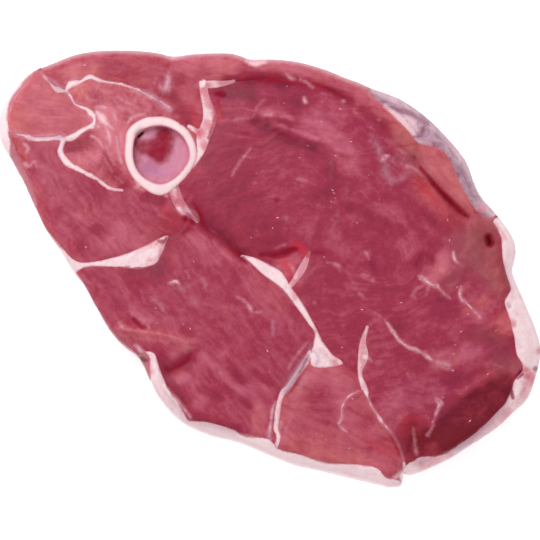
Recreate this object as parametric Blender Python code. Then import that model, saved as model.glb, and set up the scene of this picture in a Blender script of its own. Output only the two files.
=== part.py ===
"""A raw lamb leg steak with its round leg bone, cut across the leg and lying on its cut face.

The plan is drawn in millimetres, as the cut face shows it: one outline round the slice, then the bone, the
layers of fat, and the seams between the muscles. The seams part the slice into its muscles. Every piece is
a column through the whole thickness, with the swell of the real slice on top and a flat face below.
"""

import math

import bmesh
import bpy
import numpy as np
from mathutils.geometry import delaunay_2d_cdt

MM = 0.001
THICKNESS = 20.0
GAP = 0.3

# How far apart the points of the plan lie, and how near each other two of them may come
RIM_STEP = 2.3
SEAM_STEP = 1.7
FIELD_STEP = 3.6
NEAREST = 0.25

# Below this sine, two sides at a corner count as in line
SHARP = 0.5

# The least share of its area that a triangle keeps when its piece draws back from the neighbours, and how
# far its corners ease back where it would lose more
LEAST_SHARE = 0.2
EASE = 0.7

# The middle of the outline's own box, which becomes the origin
PLAN_CENTRE = (0.1, 0.75)

# How the edges of the slice are rounded: how far in the rounding starts, and how deep it goes
RIM_FALL = (2.2, 2.6)
FALLS = {
    "silverskin": (6.0, 8.0),
    "rim_fat": (4.5, 4.5),
    "fat_cap": (3.2, 3.4),
    "left_skin": (3.0, 3.4),
}
FOOT_FALL = (3.0, 2.6)
RIM_ROWS = (0.8, 2.2)

# What stands up or sinks in beside a seam
MUSCLE_CROWN = 0.6
CROWN_REACH = 2.5
BONE_PROUD = 0.5
MARROW_SINK = 2.0

# The edge of the whole slice, clockwise from the tip on its left
OUTLINE = [
    (-80.3, 46.0), (-78.0, 52.3), (-73.0, 58.8), (-66.0, 62.0), (-57.5, 65.2), (-48.0, 66.1),
    (-36.0, 65.6), (-29.5, 64.3), (-22.0, 65.1), (-12.0, 65.2), (-6.0, 63.3), (0.5, 63.4),
    (8.0, 62.6), (17.0, 60.0), (22.5, 57.7), (30.0, 54.9), (39.5, 51.2), (46.5, 46.4),
    (53.0, 39.6), (58.3, 33.4), (60.5, 27.5), (62.5, 22.8), (68.0, 16.6), (72.4, 10.4),
    (73.7, 5.0), (72.5, 0.0), (73.3, -3.4), (76.8, -11.8), (79.4, -18.8), (80.7, -24.2),
    (79.4, -31.0), (76.6, -38.2), (72.0, -42.8), (66.0, -48.0), (57.0, -53.9), (48.5, -58.6),
    (42.0, -60.6), (39.7, -60.2), (38.6, -64.2), (35.8, -64.6), (25.0, -61.8), (12.0, -59.0),
    (1.5, -55.6), (-9.0, -51.2), (-18.0, -49.0), (-25.5, -45.6), (-31.5, -39.8), (-36.0, -33.0),
    (-38.6, -26.1), (-44.6, -20.6), (-50.0, -13.2), (-55.0, -4.4), (-60.5, 3.2), (-66.0, 12.6),
    (-72.0, 25.4), (-76.0, 33.2), (-79.9, 39.8),
]

# The leg bone: its radius and the thickness of its wall at even steps round it, from the right
BONE_MIDDLE = (-33.0, 34.5)
BONE_RADII = (10.9, 11.3, 12.0, 12.2, 10.9, 10.8, 12.2, 10.0)
BONE_WALLS = (2.2, 2.5, 2.8, 2.4, 2.5, 2.4, 3.4, 1.9)

# The layers on the outside, each by the line where it meets the meat. The line runs from outside the
# slice to outside the slice, and the layer goes on from there to the outline
LEFT_SKIN_EDGE = [
    (-69.0, 63.5), (-73.2, 57.0), (-78.2, 49.4), (-78.8, 42.0), (-75.0, 33.4), (-70.6, 24.0),
    (-69.2, 19.0), (-70.5, 15.5),
]
FAT_CAP_EDGE = [
    (-43.0, -28.5), (-38.4, -25.2), (-34.9, -25.4), (-32.8, -31.4), (-29.2, -38.0), (-25.9, -43.4),
    (-24.4, -45.4), (-18.0, -46.7), (-10.4, -49.0), (-8.0, -50.4), (-0.4, -51.7), (2.0, -54.2),
    (9.0, -56.2), (17.0, -58.5), (30.6, -59.6), (34.6, -62.8), (42.0, -63.2),
]
RIM_FAT_EDGE = [
    (38.4, -61.6), (40.2, -58.8), (44.6, -56.0), (49.6, -55.6), (54.6, -53.4), (60.2, -49.8),
    (65.4, -45.2), (69.4, -40.4), (72.4, -34.0), (75.4, -30.2), (74.2, -25.6), (73.4, -19.6),
    (71.0, -12.8), (70.4, -9.4), (72.2, -6.2), (71.2, -2.4), (69.9, 3.0), (69.4, 9.6),
    (67.0, 14.2), (70.6, 17.4),
]
SILVERSKIN_EDGE = [
    (69.4, 18.0), (65.4, 15.5), (61.4, 18.8), (57.4, 26.2), (54.4, 33.4), (51.0, 36.9),
    (45.0, 38.4), (41.0, 43.2), (35.4, 49.3), (31.2, 53.2), (29.5, 57.5),
]

# Broad fat between the muscles, as closed outlines
WEDGE_FAT = [
    (-63.6, 7.2), (-58.5, 2.7), (-54.0, 2.0), (-45.0, 4.0), (-37.5, 7.0), (-30.4, 10.2),
    (-32.8, 3.2), (-38.6, 0.0), (-47.5, 0.7), (-56.0, 0.4), (-60.5, -3.0), (-64.0, 1.0),
]
CENTRE_CORNER = [(14.2, -20.6), (18.8, -25.9), (22.0, -28.3), (16.6, -29.6), (12.2, -28.8), (12.4, -24.4)]

# Seams, as a middle line with the width at each of its points
TIP_SEAM = [
    (-79.8, 41.6, 1.0), (-75.0, 41.0, 1.4), (-71.0, 39.9, 1.8), (-64.0, 40.1, 1.8),
    (-60.4, 40.0, 2.4), (-57.0, 42.2, 2.0), (-53.4, 44.0, 1.8),
]
TIP_BACK_SEAM = [
    (-53.6, 43.6, 1.8), (-53.2, 45.8, 1.6), (-55.4, 48.8, 1.6), (-59.0, 50.4, 1.1),
    (-61.4, 54.2, 1.3), (-64.4, 55.0, 1.8), (-67.4, 58.1, 1.1), (-72.4, 62.4, 0.9),
]
TOP_SEAM = [
    (-62.0, 54.6, 1.4), (-60.6, 56.5, 2.3), (-57.6, 57.3, 1.5), (-54.8, 58.7, 1.8),
    (-50.6, 57.4, 1.3), (-44.8, 56.4, 1.1), (-38.2, 53.8, 1.1), (-30.3, 49.2, 0.7),
]
INNER_SEAM = [
    (-62.0, 40.4, 1.8), (-63.4, 36.6, 1.9), (-61.6, 32.7, 2.1), (-56.8, 29.8, 1.6),
    (-52.2, 27.4, 1.3), (-48.6, 24.7, 1.3), (-44.2, 23.8, 0.7),
]
BONE_FAT_STEM = [
    (-20.4, 57.6, 2.4), (-19.8, 53.0, 2.5), (-18.4, 48.6, 3.8), (-18.4, 45.0, 4.2),
    (-20.2, 40.2, 4.1), (-21.4, 35.2, 2.4), (-26.8, 27.8, 2.2),
]
BONE_FAT_BRANCH = [(-20.6, 56.6, 2.8), (-16.4, 56.6, 2.1), (-10.6, 57.6, 0.8)]
BONE_FAT_HEEL = [(-20.2, 41.0, 2.4), (-24.8, 43.6, 1.0)]
BONE_GRISTLE = [(-29.2, 25.0, 3.2), (-27.2, 19.8, 3.3), (-24.2, 17.1, 2.5), (-21.4, 14.6, 1.5)]
CENTRE_STEM = [
    (-8.8, 4.2, 0.6), (-4.6, 2.2, 2.4), (-0.6, -0.6, 3.8), (2.0, -2.4, 4.2), (5.2, -6.3, 2.8),
    (9.2, -11.4, 2.3), (12.2, -16.3, 1.4), (13.9, -19.2, 1.1), (14.4, -23.0, 3.0),
]
CENTRE_ARM = [(11.9, 5.2, 0.7), (9.9, 0.6, 2.2), (7.4, -3.4, 1.7), (5.4, -6.0, 1.4)]
CENTRE_LEG = [
    (12.6, -25.0, 2.2), (9.6, -29.4, 1.8), (5.6, -35.3, 1.5), (3.6, -39.8, 1.5), (2.6, -47.2, 1.4),
    (2.5, -50.5, 1.3), (1.2, -55.0, 1.0),
]
EYE_SEAM = [
    (29.2, -17.2, 0.7), (27.8, -21.8, 1.7), (27.8, -26.2, 3.0), (26.8, -31.2, 1.3),
    (28.1, -35.8, 1.8), (30.0, -40.6, 1.1), (33.6, -46.0, 1.3), (37.0, -50.2, 1.2),
    (39.4, -56.0, 0.9), (39.9, -60.4, 0.9),
]

# Where two muscles touch with no fat between them. Each line ends inside the layers that it joins
BARE_SEAMS = [
    [(-29.4, 67.0), (-30.6, 61.6), (-33.8, 51.0)],
    [(-31.4, 50.0), (-26.4, 43.0)],
    [(-45.4, 23.9), (-38.8, 26.0)],
    [(-31.6, 9.0), (-26.6, 12.0), (-24.2, 16.8)],
    [(-22.4, 15.8), (-17.0, 10.8), (-6.6, 3.2)],
    [
        (-11.6, 57.4), (0.0, 58.2), (9.0, 57.5), (17.0, 55.3), (26.0, 50.3), (34.0, 44.3),
        (38.4, 38.2), (44.6, 33.4), (48.8, 27.2), (56.0, 18.8), (60.2, 16.2), (63.4, 17.6),
    ],
    [(43.0, 34.5), (45.4, 39.8)],
    [(19.6, -27.4), (27.4, -32.2)],
]

# A point inside each muscle
MUSCLES = {
    "knuckle_tip": (-68.0, 48.0),
    "knuckle_top": (-50.0, 62.0),
    "knuckle_inner": (-50.0, 45.0),
    "knuckle_lower": (-58.0, 18.0),
    "cap_strip": (-25.0, 60.0),
    "cap_flap": (52.0, 30.0),
    "topside": (20.0, 20.0),
    "silverside": (-20.0, -20.0),
    "eye_round": (16.0, -45.0),
}

# The broad swells and hollows of the top: middle, reach and height
SWELLS = [
    (14.0, 27.0, 26.0, 1.2), (-52.0, 16.0, 16.0, 0.7), (-16.0, -22.0, 18.0, 0.9), (17.0, -44.0, 12.0, 0.5),
    (-86.0, 48.0, 22.0, -3.0), (58.0, -42.0, 13.0, -3.6), (46.0, -50.0, 8.0, -1.6), (66.0, 8.0, 5.0, -1.2),
    (2.0, 4.6, 5.5, -1.8), (-13.5, 54.5, 3.2, -1.4), (-29.0, -23.5, 5.0, 1.1), (52.0, 26.0, 6.0, 1.0),
    (26.0, 60.0, 14.0, -0.9), (-40.0, -20.0, 9.0, -0.7), (37.0, -60.0, 6.0, 0.9), (0.0, 61.0, 9.0, 0.6),
]

# Long folds and clefts in the top: a route, how far to its sides they reach, and their height
FOLDS = [
    ([(-11.6, 57.4), (9.0, 57.5), (26.0, 50.3), (38.4, 38.2), (44.6, 33.4)], 2.2, -1.0),
    ([(44.6, 33.4), (48.8, 27.2), (56.0, 18.8), (59.5, 16.3)], 2.0, -2.4),
    ([(-24.0, 19.7), (-19.8, 13.5), (-13.8, 9.0), (-7.8, 3.4)], 2.0, -1.5),
    ([(-15.6, 53.6), (-15.2, 47.0)], 1.8, -1.4),
    ([(-46.0, -18.0), (-36.0, -19.2), (-27.0, -21.2), (-24.4, -24.0)], 2.6, 1.3),
    ([(-42.0, -13.4), (-37.0, -16.6)], 2.0, -0.9),
    ([(-23.2, -26.0), (-27.0, -29.2), (-31.0, -31.0)], 2.4, -1.3),
    ([(9.6, -29.0), (5.4, -36.4)], 1.8, -0.9),
    ([(31.0, -14.0), (38.0, -21.0), (50.0, -28.0)], 2.4, 0.5),
    ([(65.7, 8.8), (65.8, 9.2)], 1.9, -2.2),
]

# Colour and roughness of each kind of piece
FINISHES = {
    "muscle": ((0.42, 0.075, 0.11, 1.0), 0.42),
    "fat": ((0.86, 0.68, 0.66, 1.0), 0.40),
    "silverskin": ((0.62, 0.40, 0.46, 1.0), 0.35),
    "bone": ((0.92, 0.80, 0.76, 1.0), 0.50),
    "marrow": ((0.52, 0.13, 0.22, 1.0), 0.30),
}


def smooth_line(points, step, closed=False):
    """A smooth curve through the points, as new points about one step apart. A third number at each point,
    its width, is carried along. A closed curve ends where it starts."""
    points = np.array(points, float)
    if closed:
        points = np.concatenate([points[-1:], points, points[:2]])
    else:
        points = np.concatenate([points[:1], points, points[-1:]])
    line = []
    for before, start, end, after in zip(points, points[1:], points[2:], points[3:]):
        pieces = max(1, round(math.dist(start[:2], end[:2]) / step))
        for t in np.arange(pieces) / pieces:
            line.append(
                start + 0.5 * t * (end - before
                                   + t * (2 * before - 5 * start + 4 * end - after
                                          + t * (3 * start - before - 3 * end + after)))
            )
    line.append(points[-2])
    return np.array(line)


def sideways(line):
    """The unit vector to the left of a line at each of its points."""
    ends_meet = np.allclose(line[0], line[-1])
    along = np.gradient(line, axis=0)
    if ends_meet:
        along[0] = along[-1] = line[1] - line[-2]
    along /= np.linalg.norm(along, axis=1)[:, None]
    return np.column_stack([-along[:, 1], along[:, 0]])


def ribbon(route):
    """The closed line round a seam: its middle line widened to both sides."""
    line = smooth_line(route, SEAM_STEP)
    middle, half = line[:, :2], line[:, 2:] / 2
    across = sideways(middle)
    left, right = middle + across * half, middle - across * half
    return np.concatenate([left, right[::-1], left[:1]])


def layer(edge, *outer_corners):
    """The closed line round an outer layer: its inner edge, then corners far outside the slice."""
    line = smooth_line(edge, SEAM_STEP)
    return np.concatenate([line, np.array(outer_corners, float), line[:1]])


def bone_loops():
    """The outside and the inside of the bone's wall."""
    outside, inner = [], []
    for i, (radius, wall) in enumerate(zip(BONE_RADII, BONE_WALLS)):
        turn = math.tau * i / len(BONE_RADII)
        for loop, reach in ((outside, radius), (inner, radius - wall)):
            loop.append((BONE_MIDDLE[0] + reach * math.cos(turn), BONE_MIDDLE[1] + reach * math.sin(turn)))
    return smooth_line(outside, SEAM_STEP, True), smooth_line(inner, SEAM_STEP, True)


def layers_and_seams():
    """The closed lines of each piece that isn't muscle. Where two of them cross, the first keeps the room."""
    outside, inner = bone_loops()
    return {
        "marrow": [inner],
        "bone": [outside],
        "left_skin": [layer(LEFT_SKIN_EDGE, (-90, 12), (-90, 66))],
        "fat_cap": [layer(FAT_CAP_EDGE, (42, -75), (-45, -75))],
        "rim_fat": [layer(RIM_FAT_EDGE, (92, 17), (92, -70), (38.6, -70))],
        "silverskin": [layer(SILVERSKIN_EDGE, (80, 60), (80, 20))],
        "wedge_fat": [smooth_line(WEDGE_FAT, SEAM_STEP, True)],
        "knuckle_seam": [ribbon(r) for r in (TIP_SEAM, TIP_BACK_SEAM, TOP_SEAM, INNER_SEAM)],
        "bone_fat": [ribbon(r) for r in (BONE_FAT_STEM, BONE_FAT_BRANCH, BONE_FAT_HEEL)],
        "bone_gristle": [ribbon(BONE_GRISTLE)],
        "centre_seam": [ribbon(r) for r in (CENTRE_STEM, CENTRE_ARM, CENTRE_LEG)]
                       + [smooth_line(CENTRE_CORNER, SEAM_STEP, True)],
        "eye_seam": [ribbon(EYE_SEAM)],
    }


def inside(loops, points):
    """Which points lie in any of the closed lines, by how often the line turns round them."""
    found = np.zeros(len(points), bool)
    x, y = points[:, :1], points[:, 1:]
    for loop in loops:
        (ax, ay), (bx, by) = loop[:-1].T, loop[1:].T
        side = (bx - ax) * (y - ay) - (x - ax) * (by - ay)
        upward = (ay <= y) & (by > y) & (side > 0)
        downward = (ay > y) & (by <= y) & (side < 0)
        found |= upward.sum(1) != downward.sum(1)
    return found


def distance(points, lines):
    """How far each point is from the nearest of the lines."""
    starts = np.concatenate([line[:-1] for line in lines])
    sides = np.concatenate([line[1:] for line in lines]) - starts
    lengths = np.maximum((sides ** 2).sum(1), 1e-9)
    nearest = []
    for point in points:
        along = np.clip(((point - starts) * sides).sum(1) / lengths, 0, 1)
        nearest.append(np.linalg.norm(point - starts - along[:, None] * sides, axis=1).min())
    return np.array(nearest)


def field_points(outline, lines):
    """Points for the swell of the top: rows along the rim, and an even field clear of every line."""
    outward = sideways(outline)
    rows = np.concatenate([(outline - row * outward)[:-1] for row in RIM_ROWS])
    rows = rows[distance(rows, lines) > RIM_ROWS[0]]
    low, high = outline.min(0), outline.max(0)
    field = np.array([
        (x + FIELD_STEP / 2 * (row % 2), y)
        for row, y in enumerate(np.arange(low[1], high[1], FIELD_STEP * math.sqrt(0.75)))
        for x in np.arange(low[0], high[0], FIELD_STEP)
    ])
    field = field[inside([outline], field)]
    field = field[distance(field, [outline]) > RIM_ROWS[-1] + FIELD_STEP / 2]
    field = field[distance(field, lines) > FIELD_STEP / 2]
    return np.concatenate([rows, field])


def triangulate(outline, lines):
    """The plan in triangles that no line crosses: its points, the triangles, and the sides on a line."""
    points, edges = [], []
    for line in [outline, *lines]:
        first = len(points)
        points += [tuple(p) for p in line]
        edges += [(i, i + 1) for i in range(first, len(points) - 1)]
    points += [tuple(p) for p in field_points(outline, lines)]
    made = delaunay_2d_cdt(points, edges, [], 0, NEAREST)
    on_line = {tuple(sorted(edge)) for edge, drawn in zip(made[1], made[4]) if drawn}
    return np.array([tuple(p) for p in made[0]]), np.array([tuple(face) for face in made[2]]), on_line


def sides_of(triangle):
    a, b, c = triangle
    return (a, b), (b, c), (c, a)


def islands(triangles, walls=()):
    """The triangles in groups that meet across their sides, except the sides that are walls. The largest
    group comes first."""
    beside = {}
    for i, triangle in enumerate(triangles):
        for side in sides_of(triangle):
            beside.setdefault(tuple(sorted(side)), []).append(i)
    left, groups = set(range(len(triangles))), []
    while left:
        open_ends = [left.pop()]
        group = []
        while open_ends:
            i = open_ends.pop()
            group.append(triangles[i])
            for side in sides_of(triangles[i]):
                key = tuple(sorted(side))
                if key not in walls:
                    near = left.intersection(beside[key])
                    left -= near
                    open_ends += near
        groups.append(np.array(group))
    return sorted(groups, key=len, reverse=True)


def pieces_of(outline, drawn, points, triangles, walls):
    """The triangles of each piece, by its name."""
    middles = points[triangles].mean(1)
    free = inside([outline], middles)
    found = {}
    for name, loops in drawn.items():
        own = inside(loops, middles) & free
        found[name] = islands(triangles[own])[0]
        free &= ~own
    meat = islands(triangles[free], walls)
    for name, spot in MUSCLES.items():
        found[name] = next(g for g in meat if any(inside([points[[*t, t[0]]]], np.array([spot]))[0] for t in g))
    return found


def area(corners):
    """Twice the area of a triangle, negative where it is turned over."""
    (ax, ay), (bx, by), (cx, cy) = corners
    return (bx - ax) * (cy - ay) - (cx - ax) * (by - ay)


def drawn_back(triangles, points, shared):
    """The piece's own copy of the points, with its border half a gap back from each neighbour."""
    ahead, behind = {}, {}
    own = {side for triangle in triangles for side in sides_of(triangle)}
    for a, b in own:
        if (b, a) not in own:
            along = points[b] - points[a]
            inward = np.array([-along[1], along[0]]) / np.linalg.norm(along)
            back = GAP / 2 if (b, a) in shared else 0.0
            ahead[a] = behind[b] = (inward, back)
    move = np.zeros_like(points)
    for i, (inward, back) in ahead.items():
        other_inward, other_back = behind[i]
        both = np.array([inward, other_inward])
        if abs(np.linalg.det(both)) > SHARP:
            move[i] = np.linalg.solve(both, [back, other_back])
        else:
            middle = (inward + other_inward) / 2
            move[i] = middle / max(np.linalg.norm(middle), SHARP) * max(back, other_back)
    while True:
        turned = [t for t in triangles if area((points + move)[t]) < LEAST_SHARE * area(points[t])]
        if not turned:
            return points + move
        move[np.unique(turned)] *= EASE


def fall(reach, depth, from_rim):
    """How far a rounded edge has dropped at a distance from the rim."""
    t = np.clip(1 - from_rim / reach, 0, 1)
    return depth * (1 - np.sqrt(1 - t * t))


def top_height(name, plan, from_rim, from_seam):
    """The height of a piece's top, in millimetres."""
    height = np.full(len(plan), THICKNESS)
    for x, y, reach, swell in SWELLS:
        height += swell * np.exp(-((plan - (x, y)) ** 2).sum(1) / reach ** 2)
    for route, reach, swell in FOLDS:
        height += swell * np.exp(-(distance(plan, [smooth_line(route, SEAM_STEP)]) / reach) ** 2)
    if name in MUSCLES:
        height += MUSCLE_CROWN * (1 - np.exp(-from_seam / CROWN_REACH))
    if name == "bone":
        height += BONE_PROUD
    if name == "marrow":
        height -= MARROW_SINK
    return height - fall(*FALLS.get(name, RIM_FALL), from_rim)


def build_piece(name, triangles, points, outline, lines):
    """One piece as a closed solid: its plan drawn up into a column, then the relief of its two faces."""
    bm = bmesh.new()
    corners = {i: bm.verts.new((*points[i], 0.0)) for i in np.unique(triangles)}
    for triangle in triangles:
        bm.faces.new([corners[i] for i in triangle])
    feet = bm.verts[:]
    raised = bmesh.ops.extrude_face_region(bm, geom=bm.faces[:], use_keep_orig=True)["geom"]
    tops = [item for item in raised if isinstance(item, bmesh.types.BMVert)]

    plan = np.array([v.co[:2] for v in tops])
    heights = top_height(name, plan, distance(plan, [outline]), distance(plan, lines))
    for vert, height in zip(tops, heights):
        vert.co.z = height
    plan = np.array([v.co[:2] for v in feet])
    for vert, rise in zip(feet, fall(*FOOT_FALL, distance(plan, [outline]))):
        vert.co.z = rise + (MARROW_SINK if name == "marrow" else 0.0)

    bmesh.ops.translate(bm, verts=bm.verts[:], vec=(-PLAN_CENTRE[0], -PLAN_CENTRE[1], 0.0))
    bmesh.ops.scale(bm, verts=bm.verts[:], vec=(MM, MM, MM))
    mesh = bpy.data.meshes.new(name)
    bm.to_mesh(mesh)
    bm.free()
    mesh.shade_smooth()
    mesh.set_sharp_from_angle(angle=math.radians(40))
    return mesh


def finish_for(name):
    """The material of a piece, made the first time that it is asked for."""
    kind = "muscle" if name in MUSCLES else "silverskin" if name == "bone_gristle" else name
    kind = kind if kind in FINISHES else "fat"
    if kind not in bpy.data.materials:
        colour, roughness = FINISHES[kind]
        material = bpy.data.materials.new(kind)
        material.use_nodes = True
        shader = material.node_tree.nodes["Principled BSDF"]
        shader.inputs["Base Color"].default_value = colour
        shader.inputs["Roughness"].default_value = roughness
    return bpy.data.materials[kind]


def main():
    for obj in list(bpy.data.objects):
        bpy.data.objects.remove(obj)
    steak = bpy.data.collections.new("lamb_leg_steak")
    bpy.context.scene.collection.children.link(steak)

    outline = smooth_line(OUTLINE, RIM_STEP, True)
    drawn = layers_and_seams()
    lines = [loop for loops in drawn.values() for loop in loops]
    lines += [smooth_line(route, SEAM_STEP) for route in BARE_SEAMS]
    points, triangles, walls = triangulate(outline, lines)
    pieces = pieces_of(outline, drawn, points, triangles, walls)
    taken = {side for part in pieces.values() for triangle in part for side in sides_of(triangle)}
    for name, part in pieces.items():
        mesh = build_piece(name, part, drawn_back(part, points, taken), outline, lines)
        mesh.materials.append(finish_for(name))
        steak.objects.link(bpy.data.objects.new(name, mesh))


main()
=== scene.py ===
# %% [markdown]
# A raw leg steak of lamb, cut across the leg with its round bone. The frame holds the steak's construction:
# one closed solid for each muscle, for the bone and its marrow, and for each layer or seam of fat. This
# lesson gives those solids the looks of fresh meat. It reads the frame and nothing else.
#
# The steak is one slice, so its looks are made as one slice too: a fine plan of the whole cut face is drawn
# over the solids, its heights are read from them, and then it is parted again into the same pieces.

# %% Load the fixed frame
import math

import bpy
import numpy as np
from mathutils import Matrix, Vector, noise
from mathutils.bvhtree import BVHTree
from mathutils.geometry import delaunay_2d_cdt
from mathutils.kdtree import KDTree


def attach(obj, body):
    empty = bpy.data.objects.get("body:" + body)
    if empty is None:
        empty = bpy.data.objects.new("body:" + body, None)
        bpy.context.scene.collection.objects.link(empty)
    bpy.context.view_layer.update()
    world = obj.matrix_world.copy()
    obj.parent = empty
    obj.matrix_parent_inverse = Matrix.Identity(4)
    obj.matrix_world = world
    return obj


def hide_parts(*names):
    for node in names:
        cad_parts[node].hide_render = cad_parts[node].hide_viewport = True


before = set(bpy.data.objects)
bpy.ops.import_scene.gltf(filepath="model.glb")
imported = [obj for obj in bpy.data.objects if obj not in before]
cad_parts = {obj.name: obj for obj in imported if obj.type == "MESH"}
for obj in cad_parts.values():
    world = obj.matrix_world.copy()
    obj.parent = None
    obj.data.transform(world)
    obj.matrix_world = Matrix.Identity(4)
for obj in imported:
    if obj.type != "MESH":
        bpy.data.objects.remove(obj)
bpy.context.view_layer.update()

MM = 0.001
names = sorted(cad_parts)


def placed(name, data):
    """A new object with this data, in the scene."""
    made = bpy.data.objects.new(name, data)
    bpy.context.scene.collection.objects.link(made)
    return made


print(len(names), "solids:", ", ".join(names))

# %% [markdown]
# The camera comes first, so that each later step can be looked at. The steak was pictured from almost
# straight above through a long lens, which keeps the far edge as large as the near one. The picture is
# square, 540 pixels wide, and a pixel shows 0.3 mm of the cut face, so the lens and the distance follow.

# %% Camera
PIXELS = 540
PIXEL_SIZE = 0.3
PICTURE_WIDTH = PIXELS * PIXEL_SIZE * MM
SENSOR_WIDTH = 36.0
LENS = 135.0
NEAREST = 0.01
ELEVATION = math.radians(83.0)
AIM = Vector((-0.1 * MM, -1.05 * MM, 20.0 * MM))

camera = placed("camera", bpy.data.cameras.new("camera"))
camera.data.sensor_width = SENSOR_WIDTH
camera.data.lens = LENS
distance = PICTURE_WIDTH * LENS / SENSOR_WIDTH
camera.location = AIM + distance * Vector((0.0, -math.cos(ELEVATION), math.sin(ELEVATION)))
camera.rotation_euler = (AIM - camera.location).to_track_quat("-Z", "Y").to_euler()
camera.data.clip_start = NEAREST
bpy.context.scene.camera = camera
print(f"camera {distance / MM:.0f} mm from the steak")

# %% [markdown]
# Fresh meat is pictured in flat, bright light on white, with hardly a shadow. A white sky gives that even
# light. One large soft lamp from the upper left adds what the sky can't: a direction, so that grooves and
# swells read, and a moist sheen. The floor glows a little, as a light table does, which takes the shadow
# away. The view transform stays Standard, which shows a colour as it was given.

# %% Light and floor
SKY_COLOUR = (1.0, 0.995, 0.99, 1.0)
SKY_STRENGTH = 0.62
LAMP_SIZE = 0.9
LAMP_PLACE = Vector((-0.45, 0.55, 0.95))
LAMP_POWER = 7.3
FLOOR_HALF = 3.0
FLOOR_GAP = 0.05 * MM
FLOOR_COLOUR = (0.97, 0.97, 0.97, 1.0)
FLOOR_ROUGHNESS = 0.9
FLOOR_GLOW = 0.45

world = bpy.data.worlds.new("white_sky")
world.use_nodes = True
sky = world.node_tree.nodes["Background"]
sky.inputs["Color"].default_value = SKY_COLOUR
sky.inputs["Strength"].default_value = SKY_STRENGTH
bpy.context.scene.world = world
bpy.context.scene.view_settings.view_transform = "Standard"

lamp = placed("soft_lamp", bpy.data.lights.new("soft_lamp", "AREA"))
lamp.data.shape = "DISK"
lamp.data.size = LAMP_SIZE
lamp.data.energy = LAMP_POWER
lamp.location = LAMP_PLACE
lamp.rotation_euler = (-LAMP_PLACE).to_track_quat("-Z", "Y").to_euler()

floor_mesh = bpy.data.meshes.new("floor")
corners = [(x * FLOOR_HALF, y * FLOOR_HALF, -FLOOR_GAP) for x, y in ((-1, -1), (1, -1), (1, 1), (-1, 1))]
floor_mesh.from_pydata(corners, [], [(0, 1, 2, 3)])
floor = placed("floor", floor_mesh)
paint = bpy.data.materials.new("white_paint")
paint.use_nodes = True
surface = paint.node_tree.nodes["Principled BSDF"]
surface.inputs["Base Color"].default_value = FLOOR_COLOUR
surface.inputs["Roughness"].default_value = FLOOR_ROUGHNESS
surface.inputs["Emission Color"].default_value = (1.0, 1.0, 1.0, 1.0)
surface.inputs["Emission Strength"].default_value = FLOOR_GLOW
floor_mesh.materials.append(paint)
print(f"sky {SKY_STRENGTH}, lamp of {LAMP_POWER} W, {LAMP_SIZE} m across")

# %% [markdown]
# The plan of the cut face is already in the solids: each one's sole is its own part of that plan. The soles
# lie 0.3 mm apart, because the solids may not touch, while real muscles and fat grow together. So the next
# cells find the line halfway between every two neighbours. First, the triangles of each solid are read and
# sorted by the way they face.

# %% Read the solids
FACING = 0.05
FAT = ["left_skin", "fat_cap", "rim_fat", "wedge_fat", "knuckle_seam", "bone_fat", "centre_seam", "eye_seam"]
SILVER = ["silverskin", "bone_gristle"]
MUSCLES = [name for name in names if name not in FAT + SILVER + ["bone", "marrow"]]


def triangles_of(node):
    """The triangles of a solid in millimetres, as triangle, corner, coordinate."""
    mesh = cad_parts[node].data
    mesh.calc_loop_triangles()
    places = np.empty(len(mesh.vertices) * 3, np.float32)
    mesh.vertices.foreach_get("co", places)
    corners = np.empty(len(mesh.loop_triangles) * 3, np.int32)
    mesh.loop_triangles.foreach_get("vertices", corners)
    return places.reshape(-1, 3)[corners].reshape(-1, 3, 3).astype(float) / MM


soles, tops = {}, {}
for name in names:
    triangles = triangles_of(name)
    across = np.cross(triangles[:, 1] - triangles[:, 0], triangles[:, 2] - triangles[:, 0])
    up = across[:, 2] / np.linalg.norm(across, axis=1)
    soles[name], tops[name] = triangles[up < -FACING], triangles[up > FACING]
print("triangles facing down:", sum(map(len, soles.values())), "and up:", sum(map(len, tops.values())))

# %% [markdown]
# A side that belongs to one triangle of a sole alone is part of its border. Each such side has a twin on
# the neighbour, 0.3 mm away and run the other way. Twins tell which corners of the two soles were one point
# before the gap was cut, and the mean of such corners puts that point back.

# %% Find the points that neighbours share
TWIN_REACH = 0.55
CORNER_REACH = 0.8
TURNED = -0.8


def border_sides(sole):
    """The sides at the border of a sole, each as two plan points with the meat on its left."""
    sides = set()
    for triangle in np.round(sole[:, ::-1, :2], 3):
        a, b, c = map(tuple, triangle)
        sides |= {(a, b), (b, c), (c, a)}
    return [(a, b) for a, b in sorted(sides) if (b, a) not in sides]


sides = [(name, a, b) for name in names for a, b in border_sides(soles[name])]
starts = np.array([a for _, a, _ in sides])
ends = np.array([b for _, _, b in sides])
along = (ends - starts) / np.linalg.norm(ends - starts, axis=1)[:, None]
middles = KDTree(len(sides))
for i, middle in enumerate((starts + ends) / 2):
    middles.insert((*middle, 0.0), i)
middles.balance()


def nearest_twin(i):
    """The side of another solid that runs the other way nearest to this one, if there is one."""
    near = middles.find_range((*(starts[i] + ends[i]) / 2, 0.0), TWIN_REACH)
    found = [(gap, j) for _, j, gap in near if sides[j][0] != sides[i][0] and along[i] @ along[j] < TURNED]
    return min(found)[1] if found else None


twins = [nearest_twin(i) for i in range(len(sides))]
same_as = {}


def first_of(corner):
    """The corner that stands for all corners found to be one point with this one."""
    while same_as.setdefault(corner, corner) != corner:
        corner = same_as[corner]
    return corner


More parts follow.
